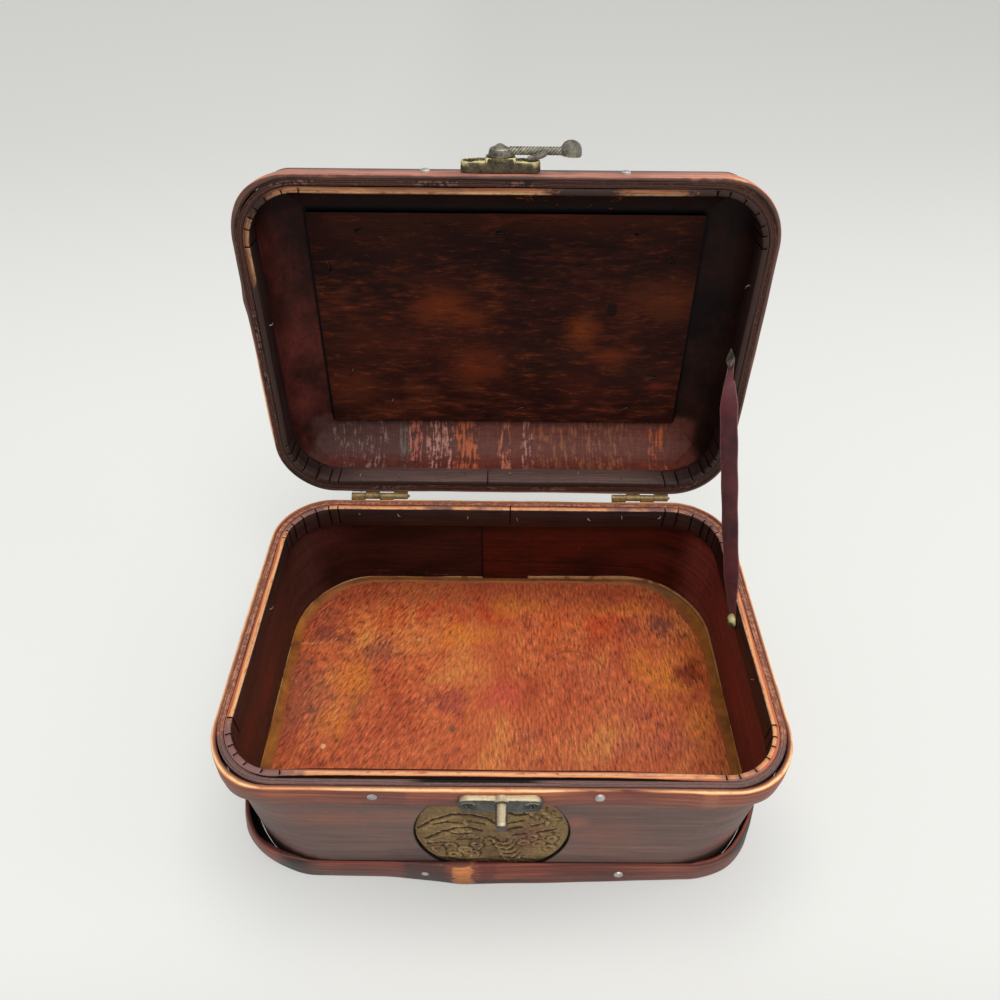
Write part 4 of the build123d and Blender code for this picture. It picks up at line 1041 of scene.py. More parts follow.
# %% Board finishes
def floor_finish():
    paint = Finish("floor_varnish")
    x, y, _ = paint.parts()
    broad = paint.cloud((30, 22, 1), 5, 0.62, turn=-20, warp=0.5)
    drift = paint.cloud((80, 34, 1), 5, 0.66, turn=-14, warp=0.4)
    leaning = paint.cloud((820, 230, 1), 3, 0.7, turn=-24)
    upright = paint.cloud((900, 200, 1), 3, 0.7, turn=3)
    turn = (x + (broad - 0.5) * 0.1).rise(-0.04, 0.02)
    ticks = (leaning + (upright - leaning) * turn).keen(1.9)
    colour = paint.ramp(broad * 0.7 + drift * 0.3, (0.36, (172, 72, 42)),
                        (0.46, (198, 94, 52)), (0.54, (206, 106, 58)),
                        (0.66, (220, 134, 66)))
    ragged = drift.keen(2.4) * 0.7 + ticks * 0.3
    purple, maroon, golden = (112, 58, 52), (132, 44, 28), (224, 130, 46)
    colour = paint.spots(colour, x, y, ragged, (
        ((-99, 56), (12, 8), purple, 0.6), ((-90, 36), (10, 6), purple, 0.6),
        ((-92, 46), (16, 14), (150, 66, 50), 0.6), ((-61, 27), (14, 12), purple, 0.55),
        ((-68, -5), (5, 12), purple, 0.45), ((-95, 0), (18, 26), (158, 88, 66), 0.6),
        ((-72, 11), (9, 12), golden, 0.6), ((-76, -14), (9, 10), golden, 0.5),
        ((-58, 48), (22, 10), (200, 92, 44), 0.6), ((-20, 52), (30, 9), (190, 66, 34), 0.7),
        ((7, 56), (12, 8), golden, 0.6), ((-18, 36), (18, 8), golden, 0.55),
        ((55, 46), (14, 12), (200, 76, 34), 0.7), ((30, 48), (10, 14), (204, 90, 40), 0.5),
        ((79, 13), (16, 18), golden, 0.7), ((92, -12), (8, 14), golden, 0.6),
        ((60, 54), (22, 5), golden, 0.5), ((85, 44), (10, 10), purple, 0.75),
        ((66, 42), (8, 9), purple, 0.4), ((90, 15), (8, 7), maroon, 0.85),
        ((13, 46), (3, 8), maroon, 0.5), ((-2, 2), (10, 9), (206, 84, 66), 0.6),
        ((-27, -1), (12, 8), (160, 72, 62), 0.55), ((13, -19), (8, 6), purple, 0.35),
        ((32, -20), (6, 6), purple, 0.45), ((44, 14), (16, 14), (188, 86, 58), 0.5),
        ((66, -8), (16, 9), (176, 78, 58), 0.45), ((70, -22), (30, 6), (176, 92, 66), 0.4)))
    # painted shade: the floor is drawn darker along the back, under the open lid
    rear = (y + (drift - 0.5) * 0.02).rise(0.045, 0.066)
    colour = colour.lay(rear * 0.55, (120, 46, 26))
    colour = colour.shade(0.14 + ticks * 1.6)
    pores = ticks.rise(0.34, 0.16)
    colour = colour.lay(pores * 0.45, (104, 40, 26))
    sparkle = ticks.rise(0.76, 0.95)
    colour = colour.lay(sparkle * 0.35, (240, 178, 122))
    arc = ((x - 0.035) ** 2.0 + (y - 0.010) ** 2.0) ** 0.5
    arc = (arc - 0.0175 + (drift - 0.5) * 0.002).size()
    arc = arc.rise(0.8 * MM, 0.2 * MM) * y.rise(0.012, 0.018)
    colour = colour.lay(arc * 0.4, (110, 62, 44))
    pale = paint.spot(x, y, (-97, 31), (12, 1.2), ragged) * ticks
    colour = colour.lay(pale * 0.7, (232, 166, 110))
    for place_x, place_y, reach, tone in (
            (-80.0, -25.0, 1.5, (244, 196, 136)), (-89.0, -7.0, 2.2, (120, 76, 60)),
            (-22.0, -16.0, 2.0, (116, 74, 52)), (62.0, 10.0, 1.0, (90, 40, 24))):
        dot = ((x - place_x * MM) ** 2.0 + (y - place_y * MM) ** 2.0) ** 0.5
        dot = (dot + (ticks - 0.5) * 0.0008).rise(reach * MM, reach * 0.5 * MM)
        colour = colour.lay(dot * 0.8, tone)
    return paint.finish(colour, ticks * 0.7 + drift * 0.3, 0.10, 0.38 + drift * 0.18, 0.36)


def panel_finish():
    paint = Finish("panel_varnish")
    x, y, z = paint.parts()
    _, up = in_lid(y, z)
    broad = paint.cloud((26, 1, 44), 4, 0.62, warp=0.4)
    patchy = paint.cloud((62, 1, 260), 5, 0.68)
    grain = paint.cloud((90, 1, 1150), 4, 0.66).keen(1.9)
    colour = paint.ramp(broad * 0.5 + patchy * 0.5, (0.38, (30, 9, 6)), (0.5, (50, 18, 11)),
                        (0.64, (78, 34, 17)))
    ragged = patchy.keen(3.2) * 0.45 + grain * 0.55
    colour = paint.spots(colour, x, z, ragged, (
        ((-30, 152), (13, 10), (150, 66, 24), 0.65), ((-14, 147), (7, 5), (150, 66, 24), 0.5),
        ((-12, 122), (14, 10), (142, 60, 24), 0.6), ((36, 140), (8, 10), (156, 72, 24), 0.7),
        ((50, 128), (11, 4), (146, 62, 24), 0.6), ((72, 156), (20, 12), (124, 60, 28), 0.6),
        ((20, 192), (60, 7), (112, 46, 20), 0.6), ((-50, 188), (36, 12), (88, 40, 24), 0.6),
        ((-2, 178), (30, 16), (20, 5, 3), 0.8), ((-60, 164), (26, 10), (30, 12, 8), 0.5),
        ((20, 128), (30, 14), (44, 26, 20), 0.55), ((-76, 112), (16, 10), (120, 54, 26), 0.5),
        ((36, 112), (12, 8), (96, 38, 26), 0.5), ((-50, 132), (34, 8), (96, 40, 18), 0.4),
        ((66, 118), (18, 10), (40, 24, 18), 0.6), ((74, 112), (8, 2), (150, 62, 34), 0.5)), 0.55)
    fleck = paint.cloud((130, 1, 620), 5, 0.75, warp=0.6).keen(1.8)
    warm = patchy.rise(0.44, 0.62) * fleck.rise(0.45, 0.85)
    colour = colour.lay(warm * 0.5, (128, 60, 26))
    colour = colour.shade(0.2 + grain * 0.8 + patchy * 0.4 + fleck * 0.4)
    colour = colour.shade(1.0 + (z - 0.145) * -2.2)
    knot = ((x - 0.049) / 0.0026) ** 2.0 + ((z - 0.151) / 0.0034) ** 2.0
    colour = colour.lay(knot.rise(1.5, 0.4) * 0.8, (20, 12, 10))
    # painted shade: the panel's edge faces, deep in the groove, are drawn nearly black
    colour = colour.lay(up.rise(30.9 * MM, 31.4 * MM), (8, 3, 2))
    return paint.finish(colour, grain * 0.7 + patchy * 0.3, 0.08, 0.46 + patchy * 0.2, 0.12)


dress("base_floor", floor_finish())
dress("lid_inner_panel", panel_finish())

# %% [markdown]
# Old glue has run into the corner between the floor and the wall and dried to amber. The bead is
# a hoop like the bands, but its inner edge wanders: thin along the back, wide at the two sides.
# A pale line marks where it climbed the wall, and at the floor it thins out to nothing.

# %% Glue bead
def glue_finish():
    paint = Finish("glue_amber")
    x, y, z = paint.parts()
    broad = paint.cloud(60, 4, 0.6, warp=0.5)
    fine = paint.cloud(420, 3, 0.6)
    colour = paint.ramp(broad, (0.35, (122, 70, 34)), (0.5, (158, 96, 38)),
                        (0.66, (186, 116, 44)))
    colour = colour.lay(y.rise(0.045, 0.065) * 0.6, (112, 72, 44))
    two = (x + 0.0965 + (broad - 0.5) * 0.004).rise(-0.0008, 0.0008) * x.rise(-0.085, -0.09)
    colour = colour.lay(two * 0.6, (140, 76, 36))
    low = z.rise(10.5 * MM, 10.1 * MM)
    colour = colour.lay(low * 0.6, (166, 84, 44))
    climbed = z.rise(12.2 * MM, 12.6 * MM) * broad.rise(0.38, 0.46)
    colour = colour.lay(climbed * 0.55, (206, 168, 120))
    colour = colour.shade(0.66 + fine * 0.6)
    return paint.finish(colour, fine, 0.12, 0.5 + fine * 0.2, 0.2)


def glue_section(run):
    length = length_of(PLY_FOOT_INSIDE)
    side = np.abs(np.cos(2 * math.pi * (run / length - 0.25))) ** 3
    front = plateau(run, length * 0.38, length * 0.62, 12)
    wide = 2.0 + 2.6 * side + 1.0 * front
    wide = wide + 4.5 * bump(run, corner_run(PLY_FOOT_INSIDE, 3) - 12, 16)
    wide = wide + waver(run, length, (0.5, 7, 0.1), (0.35, 17, 0.6), (0.2, 41, 0.3))
    wide = np.maximum(wide, 0.8)
    climb = 12.5 + 1.3 * plateau(run, length * 0.8, length * 1.2, 20)
    climb = climb + waver(run, length, (0.25, 9, 0.1), (0.15, 23, 0.4))
    return [(-wide, 10.02), (-wide * 0.8, 10.2), (-wide * 0.45, 10.5), (-0.9, 11.3),
            (-0.25, climb), (0.3, climb), (0.3, 10.02)]


glue = hoop("glue_run", PLY_FOOT_INSIDE, glue_section, FLOOR_TOP)
seat(glue, "base", glue_finish(), "floor_glue_bead")

# %% [markdown]
# Cast and turned parts are raised from one outline. A filled circle is extruded once for each
# level, then its points slide to the outline with an inset and a height for that level. So a
# plate, a rivet, a knob and a twisted arm all come from one function.

# %% Raised shapes
def raised(name, outline, levels, count=48, twist=0.0, lobes=0, lobe_depth=0.0):
    """A solid from (inset, height) levels above a rounded outline, in millimetres."""
    piece = fresh(bpy.ops.mesh.primitive_circle_add, name, vertices=count, radius=1.0,
                  fill_type="NGON")
    edit(piece, *[STEP_UP] * (len(levels) - 1))
    raw = points_of(piece) * MM
    level = np.rint(raw[:, 2]).astype(int)
    around = np.arctan2(raw[:, 1], raw[:, 0]) / (2 * math.pi)
    inset = np.array([step[0] for step in levels], float)[level]
    height = np.array([step[1] for step in levels], float)[level]
    wave = lobe_depth * np.cos(2 * math.pi * lobes * around + math.radians(twist) * level)
    middle_x, middle_y, turn, _ = outline_at((around % 1.0) * length_of(outline), outline)
    reach = np.maximum(outline[2] - inset + wave, 0.01)
    shrink = np.where(inset > outline[2], outline[2] - inset, 0.0)
    span = np.maximum(np.hypot(middle_x, middle_y), 1e-6)
    keep = np.maximum(1 + shrink / span, 0.0)
    set_points(piece, np.column_stack([middle_x * keep + reach * np.cos(turn),
                                       middle_y * keep + reach * np.sin(turn), height]))
    outward(piece)
    return piece


def turned(name, profile, count=40, **settings):
    """A solid of revolution from (radius, height) pairs."""
    widest = max(radius for radius, _ in profile)
    outline = (2 * widest, 2 * widest, widest)
    return raised(name, outline, [(widest - radius, height) for radius, height in profile],
                  count, **settings)


def keep_share(piece, name, values):
    """Keeps a number from 0 to 1 for each point, for a finish to read."""
    layer = piece.data.attributes.new(name, "FLOAT", "POINT")
    layer.data.foreach_set("value", np.clip(values, 0, 1).astype(np.float32))


def wear_and_light_map(piece, spread, lit=0.0, outer=False):
    """Keeps how far each point stands proud of its neighbours as the attribute "worn". `lit`
    adds a share for facing up, which is painted light on upper faces, and `outer` keeps only the
    edges round the outer face."""
    mesh = piece.data
    points = points_of(piece)
    normals = np.empty(len(mesh.vertices) * 3)
    mesh.vertices.foreach_get("normal", normals)
    normals = normals.reshape(-1, 3)
    pairs = np.empty(len(mesh.edges) * 2, int)
    mesh.edges.foreach_get("vertices", pairs)
    first, second = pairs.reshape(-1, 2).T
    count = np.bincount(pairs, minlength=len(points))
    step = points[second] - points[first]
    far = np.maximum(np.linalg.norm(step, axis=1), 1e-6)
    proud = np.zeros(len(points))
    np.add.at(proud, first, -(step * normals[first]).sum(1) / far)
    np.add.at(proud, second, (step * normals[second]).sum(1) / far)
    proud = proud / np.maximum(count, 1) * spread + lit * np.clip(normals[:, 2], 0, 1) ** 2
    if outer:
        proud *= points[:, 1] < points[:, 1].max() - 3.2 * MM
    keep_share(piece, "worn", proud)


def seat_cast(piece, body, finish, node, angle=40, spread=2.0, slot="bronze", closed=True, **wear_and_light):
    """Smooths a cast, turned or drawn piece, keeps its wear and any painted light on its upper
    faces, and seats it.
    """
    if angle:
        smooth(piece, angle)
    wear_and_light_map(piece, spread, **wear_and_light)
    seat(piece, body, finish, node, closed)


# %% [markdown]
# The latch is cast in a soft yellow metal and tinted dark. Handling has rubbed its edges back to
# pale brass, so the finish reads the "worn" attribute, which says how far a point stands proud.
# For the catch, its screws, its peg and the domed tack the attribute also holds a share for
# facing up, which is painted light on their upper faces.

# %% Metal finishes
def metal_finish(name, dark, middle, bright, edge=0.45, rough=0.38, depth=0.10, metal=0.5):
    paint = Finish(name)
    proud = paint.node("ShaderNodeAttribute", {"attribute_name": "worn"}, None, "Fac")
    broad = paint.cloud(260, 4, 0.65)
    fine = paint.cloud(1300, 3, 0.65)
    colour = paint.ramp(broad * 0.6 + fine * 0.4, (0.38, dark), (0.62, middle))
    # edges rubbed bright, and upper faces drawn lighter where `lit` was given: wear and painted
    # light
    rubbed_and_lit_bright = (proud + (broad - 0.5) * 0.7).rise(edge - 0.18, edge + 0.18)
    colour = colour.lay(rubbed_and_lit_bright * 0.9, bright)
    colour = colour.shade(0.72 + fine * 0.56)
    return paint.finish(colour, broad * 0.5 + fine * 0.5, depth,
                        rough + fine * 0.25 - rubbed_and_lit_bright * 0.08,
                        Metallic=metal + rubbed_and_lit_bright * 0.2)


catch_bronze = metal_finish("catch_bronze", (52, 54, 50), (92, 90, 82), (204, 186, 150),
                            edge=0.58, metal=0.35, depth=0.45)
bronze = metal_finish("antique_bronze", (46, 40, 30), (104, 92, 68), (232, 216, 150),
                      edge=0.34, rough=0.5, depth=0.3, metal=0.2)
dark_bronze = metal_finish("dark_bronze", (26, 30, 28), (64, 68, 62), (190, 184, 160),
                           edge=0.5)
hook_bronze = metal_finish("hook_bronze", (62, 60, 52), (132, 126, 112), (214, 204, 174),
                           edge=0.5, depth=0.3, metal=0.25)
hinge_brass = metal_finish("hinge_brass", (98, 80, 50), (156, 130, 86), (206, 184, 134),
                           depth=0.05)
nail_steel = metal_finish("nail_steel", (140, 134, 130), (200, 195, 190),
                          (226, 222, 218), rough=0.34, depth=0.06)
dull_steel = metal_finish("dull_steel", (80, 62, 56), (140, 116, 106), (206, 190, 180),
                          rough=0.4, depth=0.06)
point_steel = metal_finish("point_steel", (24, 20, 18), (58, 52, 48), (150, 140, 130),
                           rough=0.36, edge=0.5)

# %% [markdown]
# The catch on the base is a small cast plate with two countersunk screws and a round peg that
# stands out towards you. The recesses are cut with a cone, and each screw head has a cross cut
# by two thin blades. Its edges are rubbed bright, its upper faces are painted lighter as painted
# light, and its front has stayed dark.

# %% Screws and catch
SCREW_REACH = 11.4                       # from a plate's middle to each of its screws
BAND_FRONT = 74.0                        # the bands' front face, in front of the box's middle
CATCH_X, CATCH_Z = -0.4, 63.4


def on_front(x, z, depth=BAND_FRONT):
    """A place on the front, its own Z pointing forwards."""
    return place_mm(x, -depth, z) @ FACE_FRONT


def screw_heads(places, sunk):
    """Countersunk heads with a cross recess, one at each place."""
    head = turned("screw_head", [(2.5, -1.6), (2.5, -0.5), (2.3, -0.3), (1.6, -0.12),
                                 (0.8, -0.04), (0.01, 0.0)], 32)
    for angle in (25, 115):
        blade = fresh(bpy.ops.mesh.primitive_cube_add, "cross_blade", size=1.0)
        carve(head, put(blade, turn_about("Z", angle)
                        @ Matrix.Diagonal((0.0030, 0.00062, 0.0012, 1))))
    return copies(head, [place @ place_mm(0, 0, -sunk) for place in places], "screw_heads")


def plate_with_screws(plate, x, z, face, body, finish, nodes_for, sunk, plate_wear_and_light, screw_wear_and_light):
    """Sinks two screws into a cast plate, and seats the plate and the screws."""
    places = [on_front(x + step, z, face) for step in (-SCREW_REACH, SCREW_REACH)]
    cone = turned("countersink", [(1.5, -1.9), (2.8, -0.6), (3.4, 0.0), (3.5, 0.6)], 40)
    carve(plate, copies(cone, places, "countersinks"))
    outward(plate)
    seat_cast(plate, body, finish, nodes_for[0], 35, **plate_wear_and_light)
    seat_cast(screw_heads(places, sunk), body, dark_bronze, nodes_for[1], 35, **screw_wear_and_light)


catch = raised("catch_plate_cast", (30.4, 9.2, 4.0),
               [(0, 0), (0, 1.7), (0.12, 2.1), (0.4, 2.4), (0.9, 2.5), (4.0, 2.5)], 96)
collar = turned("peg_collar", [(3.7, 0.2), (3.6, 2.5), (3.2, 2.8), (2.6, 2.9), (0.01, 2.9)], 40)
carve(catch, put(collar, place_mm(0.4, 1.6, 0)), "UNION")
put(catch, on_front(CATCH_X, CATCH_Z))
# `lit` paints the upper faces of the plate and its screws lighter, as painted light
plate_with_screws(catch, CATCH_X, CATCH_Z - 0.2, BAND_FRONT + 2.5, "base", catch_bronze,
                  ("catch_plate", "catch_screws"), 0.25, {"spread": 1.0, "lit": 0.9},
                  {"spread": 3.0, "lit": 0.9})
peg = turned("catch_peg_turned", [(2.15, 0.0), (2.1, 2.6), (2.2, 3.2), (2.15, 5.0), (2.15, 9.6),
                                  (2.05, 10.3), (1.75, 10.75), (1.2, 10.95), (0.01, 11.0)], 36)
# `lit` paints the peg's top lighter, as painted light
seat_cast(put(peg, on_front(0, 65)), "base", catch_bronze, "catch_peg", spread=0.6, lit=1.0)

# %% [markdown]
# The lid's half is thicker and steps up at its middle to carry the pivot. The hook turns on a
# rivet with a low cone head: a drum-shaped eye, a rope-twisted arm, a curved claw that takes the
# peg, and a bell-shaped knob. It is drawn as it rests, pointing to the right.

# %% Latch plate and hook
LATCH_X, LATCH_Z = -2.4, 77.2
PIVOT_X, PIVOT_Z = -2.6, 76.4
HOOK_STANDS = 5.5                        # the hook's back, in front of the band
latch = raised("latch_plate_cast", (30.4, 7.0, 3.1),
               [(0, 0), (0.1, 1.5), (0.2, 3.3), (0.35, 3.7), (0.75, 3.95), (3.1, 3.95)], 96)
step = raised("latch_step", (11.8, 7.0, 0.6), [(0.1, 0.0), (0.15, 4.3), (0.3, 4.8), (0.55, 5.05),
                                               (0.6, 5.05)], 48)
carve(latch, step, "UNION")
put(latch, on_front(LATCH_X, LATCH_Z))
plate_with_screws(latch, LATCH_X, LATCH_Z, BAND_FRONT + 3.95, "lid", bronze,
                  ("latch_plate", "latch_screws"), 0.35, {"spread": 3.0, "outer": True}, {})
rivet = turned("pivot_rivet", [(2.9, 8.0), (2.9, 8.25), (2.6, 8.5), (1.5, 9.2), (0.7, 9.65),
                               (0.01, 9.75)], 36)
seat_cast(put(rivet, on_front(PIVOT_X, PIVOT_Z)), "lid", hook_bronze, "latch_rivet")

eye = turned("hook_eye", [(4.3, 0.0), (4.45, 0.25), (4.3, 1.3), (3.95, 2.2), (3.9, 2.5),
                          (3.7, 2.7), (3.2, 2.6), (0.01, 2.6)], 48)
rope = [(1.2, 0.0), *((1.42, 0.3 * count) for count in range(1, 72)), (1.65, 21.8), (1.9, 22.2)]
arm = turned("hook_arm", rope, 48, twist=88, lobes=6, lobe_depth=0.13)
put(arm, place_mm(3.2, 0, 1.75) @ turn_about("Y", 90))
knob = turned("hook_knob", [(3.1, 0.0), (3.9, 0.15), (4.1, 0.6), (4.05, 1.8), (3.75, 3.2),
                            (3.0, 4.4), (2.0, 5.1), (0.9, 5.45), (0.01, 5.55)], 40)
put(knob, place_mm(26.4, 0, 0.1) @ turn_about("Y", 4))
CLAW_LENGTH, CLAW_RADIUS, CLAW_TURN = 12.9, 10.9, 68
claw = turned("hook_claw", [(1.15, 0.0), (1.25, 1.6), (1.2, 3.2), (1.15, 4.8), (1.1, 6.4),
                            (1.05, 8.0), (1.0, 9.6), (0.9, 11.2), (0.65, 12.4),
                            (0.2, CLAW_LENGTH)], 20)
straight = points_of(claw)
angle = straight[:, 2] / CLAW_LENGTH * math.radians(CLAW_TURN)
radius = CLAW_RADIUS + straight[:, 0]
set_points(claw, np.column_stack([5.8 + radius * np.cos(angle), -0.2 - radius * np.sin(angle),
                                  1.5 + straight[:, 1]]))
outward(claw)
hook = joined([eye, arm, knob, claw], "latch_hook_cast")
put(hook, on_front(PIVOT_X, PIVOT_Z, BAND_FRONT + HOOK_STANDS))
seat_cast(hook, "hook", hook_bronze, "latch_hook", 45, 2.2)

# %% [markdown]
# The medallion is a cast round with a low landscape of its own: a long hill line, broken banks
# of mist, rows of cloud scrolls, nested scallops, a leafy spray and ripples at the foot. A grid
# is drawn into a disc, and every point rises by a sum of simple height rules. The heights also
# steer the colour: dark in the hollows, rubbed olive-gold on top.

# %% Medallion
def to_line(across, up, line):
    """Distance from each place to a line of short straight runs."""
    nearest = np.full_like(across, 1e3)
    for (x0, y0), (x1, y1) in zip(line[:-1], line[1:]):
        run_x, run_y = x1 - x0, y1 - y0
        share = np.clip(((across - x0) * run_x + (up - y0) * run_y)
                        / (run_x ** 2 + run_y ** 2), 0, 1)
        nearest = np.minimum(nearest, np.hypot(across - x0 - share * run_x,
                                               up - y0 - share * run_y))
    return nearest


def ridge_at(distance, width):
    return np.exp(-(distance / width) ** 2)


HILLS = (((-28, 2), (-22, 8.5), (-15, 12.5), (-8, 13), (-2, 10.5), (2, 6)),
         ((-25, -5), (-20, -0.5), (-14, 3.5), (-9, 4), (-4, 1.5)),
         ((4, 16), (9, 12.5), (15, 14), (21, 9), (26, 10)))
MIST = (((-19, 1.5), (-13, -1), (-8, 0)), ((-25, -9), (-18, -7)), ((-13, -5), (-5, -4)),
        ((-22, 5.5), (-17, 7.5), (-11, 7)), ((-9, 8.4), (-3, 6.4)), ((6, 7), (12, 9)),
        ((15, 5.5), (22, 7)), ((5, 2.4), (11, 4.6)), ((17, 0.5), (24, 2.4)), ((8, -1.5), (13, 0)))
SCROLLS = ((-21.5, -12.8, 2.7, 0.4), (-16.2, -10.0, 2.6, 0.9), (-11.0, -12.4, 2.9, 0.2),
           (-6.2, -8.6, 2.6, 1.3), (-15.0, -17.2, 2.8, 0.6), (-1.2, -5.4, 2.6, 2.0),
           (17.5, -8.0, 2.9, 1.1), (22.8, -4.4, 2.5, 2.2), (22.0, -11.8, 2.7, 0.5),
           (15.4, -2.6, 2.3, 1.7), (12.0, -7.0, 2.4, 0.1), (-7.0, -15.2, 2.3, 2.4))


def relief(across, up):
    """The height of the relief in millimetres at a place on the disc."""
    wave = 0.5 * np.sin(across / 2.1 + 1.3 * np.sin(up / 2.6)) + 0.3 * np.sin(across * 1.3 + up)
    height = 0.10 * wave
    for lines, above, lift, soft, groove, deep in ((HILLS, 1.5, 0.30, 0.7, 0.75, 0.75),
                                                   (MIST, 1.3, 0.28, 0.6, 0.65, 0.65)):
        for line in lines:
            far = to_line(across, up + 0.2 * wave, line)
            height += lift * ridge_at(far - above, soft) - deep * ridge_at(far, groove)
    for x, y, size, turn in SCROLLS:
        far = np.hypot(across - x, up - y)
        swirl = np.mod(np.arctan2(up - y, across - x) + turn, 2 * math.pi)
        radius = size * (1 - 0.10 * swirl)
        drawn = (swirl < 5.4).astype(float)
        height += (0.45 * ridge_at(far - radius, 0.5) - 0.55 * ridge_at(far, 0.8)
                   - 0.40 * ridge_at(far - radius - 1.0, 0.5)) * drawn
    for row in range(5):
        y = -4.5 - 3.2 * row
        far = np.hypot(across - 4.0 - 0.9 * row, (up - y) * 1.1)
        lower = (up < y + 0.4).astype(float) * (far < 5.0)
        height += lower * (0.42 * ridge_at(far - 3.3, 0.6) - 0.55 * ridge_at(far - 2.0, 0.6)
                           - 0.35 * ridge_at(far - 4.4, 0.4))
    for count in range(6):
        stem_x, stem_y = 11 + 2.0 * count, 21.0 - 2.3 * count
        for side in (-1, 1):
            lean = math.radians(-50 + side * 44)
            move_x = across - stem_x - 2.2 * math.cos(lean)
            move_y = up - stem_y - 2.2 * math.sin(lean)
            along = move_x * math.cos(lean) + move_y * math.sin(lean)
            wide = -move_x * math.sin(lean) + move_y * math.cos(lean)
            leaf = np.clip(1 - (along / 2.6) ** 2 - (wide / 1.15) ** 2, -1, 1)
            height = np.where(leaf > -0.6, 0.45 * np.clip(leaf, 0, 1) ** 0.5
                              - 0.45 * ridge_at(leaf + 0.25, 0.22), height)
    foot = 1 / (1 + np.exp((up + 18.5 + 0.4 * np.sin(across / 3)) * 2.2))
    height += foot * (0.30 * np.sin(up * 1.9 + 1.4 * np.sin(across / 2.4)) - 0.05)
    hatch = 1 / (1 + np.exp(-(across - 5) * 0.9)) * ((up > -1) & (up < 20))
    stroke = np.sin(up * 1.3 + 0.9 * across + 1.7 * np.sin(across * 0.7 + 0.6 * up))
    height -= 0.36 * hatch * np.clip(stroke - 0.2, 0, 1)
    rough = np.sin(across * 2.3 + 2 * np.sin(up * 1.7)) * np.sin(up * 2.1 + np.sin(across * 1.9))
    return height + 0.22 * rough


def medallion_finish():
    paint = Finish("relief_bronze")
    x, _, z = paint.parts()
    high = paint.node("ShaderNodeAttribute", {"attribute_name": "high"}, None, "Fac")
    broad = paint.cloud(70, 4, 0.6)
    strands = paint.cloud((160, 160, 520), 4, 0.65)
    fine = paint.cloud(900, 3, 0.65)
    base = paint.ramp(broad * 0.6 + strands * 0.4, (0.38, (98, 74, 46)), (0.5, (130, 102, 66)),
                      (0.62, (150, 124, 78)))
    base = base.lay(x.rise(0.012, 0.022), paint.shade((136, 110, 70), 0.7 + broad * 0.6))
    red = paint.spot(x, z, (10, 34), (8, 9), strands)
    base = base.lay(red * 0.7, (112, 72, 58))
    level = high + (fine - 0.5) * 0.35
    colour = base.lay(level.rise(0.34, 0.05) * 0.9, (48, 32, 18))
    colour = colour.lay(level.rise(0.56, 0.90) * 0.62, (186, 154, 110))
    # painted shade: the medallion is drawn darker low down, just above the foot band
    colour = colour.lay(z.rise(0.019, 0.0152) * 0.8, (44, 30, 18))
    colour = colour.shade(0.40 + fine * 1.2)
    return paint.finish(colour, fine, 0.3, 0.55 + fine * 0.2, 0.3, Metallic=0.15)


RELIEF_RADIUS, RIM_SHARE = 29.5, 0.985
UNDER_BAND = 59.5             # the rim band covers the medallion above this height
GRID = 240
medallion = fresh(bpy.ops.mesh.primitive_grid_add, "medallion_relief", x_subdivisions=GRID,
                  y_subdivisions=GRID, size=2.0)
grid = points_of(medallion) * MM
wide, tall = grid[:, 0], grid[:, 1]
disc_x = wide * np.sqrt(1 - tall ** 2 / 2) * RELIEF_RADIUS
disc_y = tall * np.sqrt(1 - wide ** 2 / 2) * RELIEF_RADIUS
share = np.hypot(disc_x, disc_y) / RELIEF_RADIUS
dome = 0.9 * np.clip((RIM_SHARE - share) / 0.45, 0, 1) ** 0.7
face = share < RIM_SHARE
carving = 0.62 * relief(disc_x, disc_y) * np.clip((RIM_SHARE - share) / 0.04, 0, 1)
height = np.where(face, -0.85 + dome + carving, -1.75)
set_points(medallion, np.column_stack([disc_x, disc_y, height]))
keep_share(medallion, "high", (0.42 + carving * 1.3) * face)
LEAN = (PLY_FOOT[1] - PLY_RIM[1]) / 2 / 43.0           # how far the wall springs out, per mm down
put(medallion, place_mm(MEDALLION_X, -72.0 - LEAN * 22.0, MEDALLION_Z)
    @ turn_about("X", 90 - math.degrees(math.atan(LEAN))))
edit(medallion, (bpy.ops.mesh.bisect, {"plane_co": (0, 0, UNDER_BAND * MM),
                                       "plane_no": (0, 0, 1), "clear_outer": True}))
smooth(medallion, 70)
seat(medallion, "base", medallion_finish(), "medallion")

# %% [markdown]
# Small wire nails hold everything. Outside they show as silver domes. Inside the liners they
# come out as thin bright points bent over, and in the lid's panel as dark ones. One head and one
# bent point are modelled, then copied to each place.

# %% Nails
def on_face(side, along, z, depth):
    """A place on a face, its own Z pointing out: 0 front, 1 right, 2 back, 3 left."""
    return turn_about("Z", 90 * side) @ on_front(along, z, depth)


HEAD_RADIUS, HEAD_HEIGHT = 1.85, 0.6
POINT_RADIUS, POINT_BEND, BEND_RADIUS, STRAIGHT_PART, POINT_LEVELS = 0.36, 75, 1.1, 0.3, 12


def nail_head():
    return turned("nail_head", [(HEAD_RADIUS, -HEAD_HEIGHT), (HEAD_RADIUS, 0.1),
                                (HEAD_RADIUS * 0.94, HEAD_HEIGHT * 0.5),
                                (HEAD_RADIUS * 0.7, HEAD_HEIGHT * 0.85),
                                (HEAD_RADIUS * 0.35, HEAD_HEIGHT), (0.01, HEAD_HEIGHT)], 28)


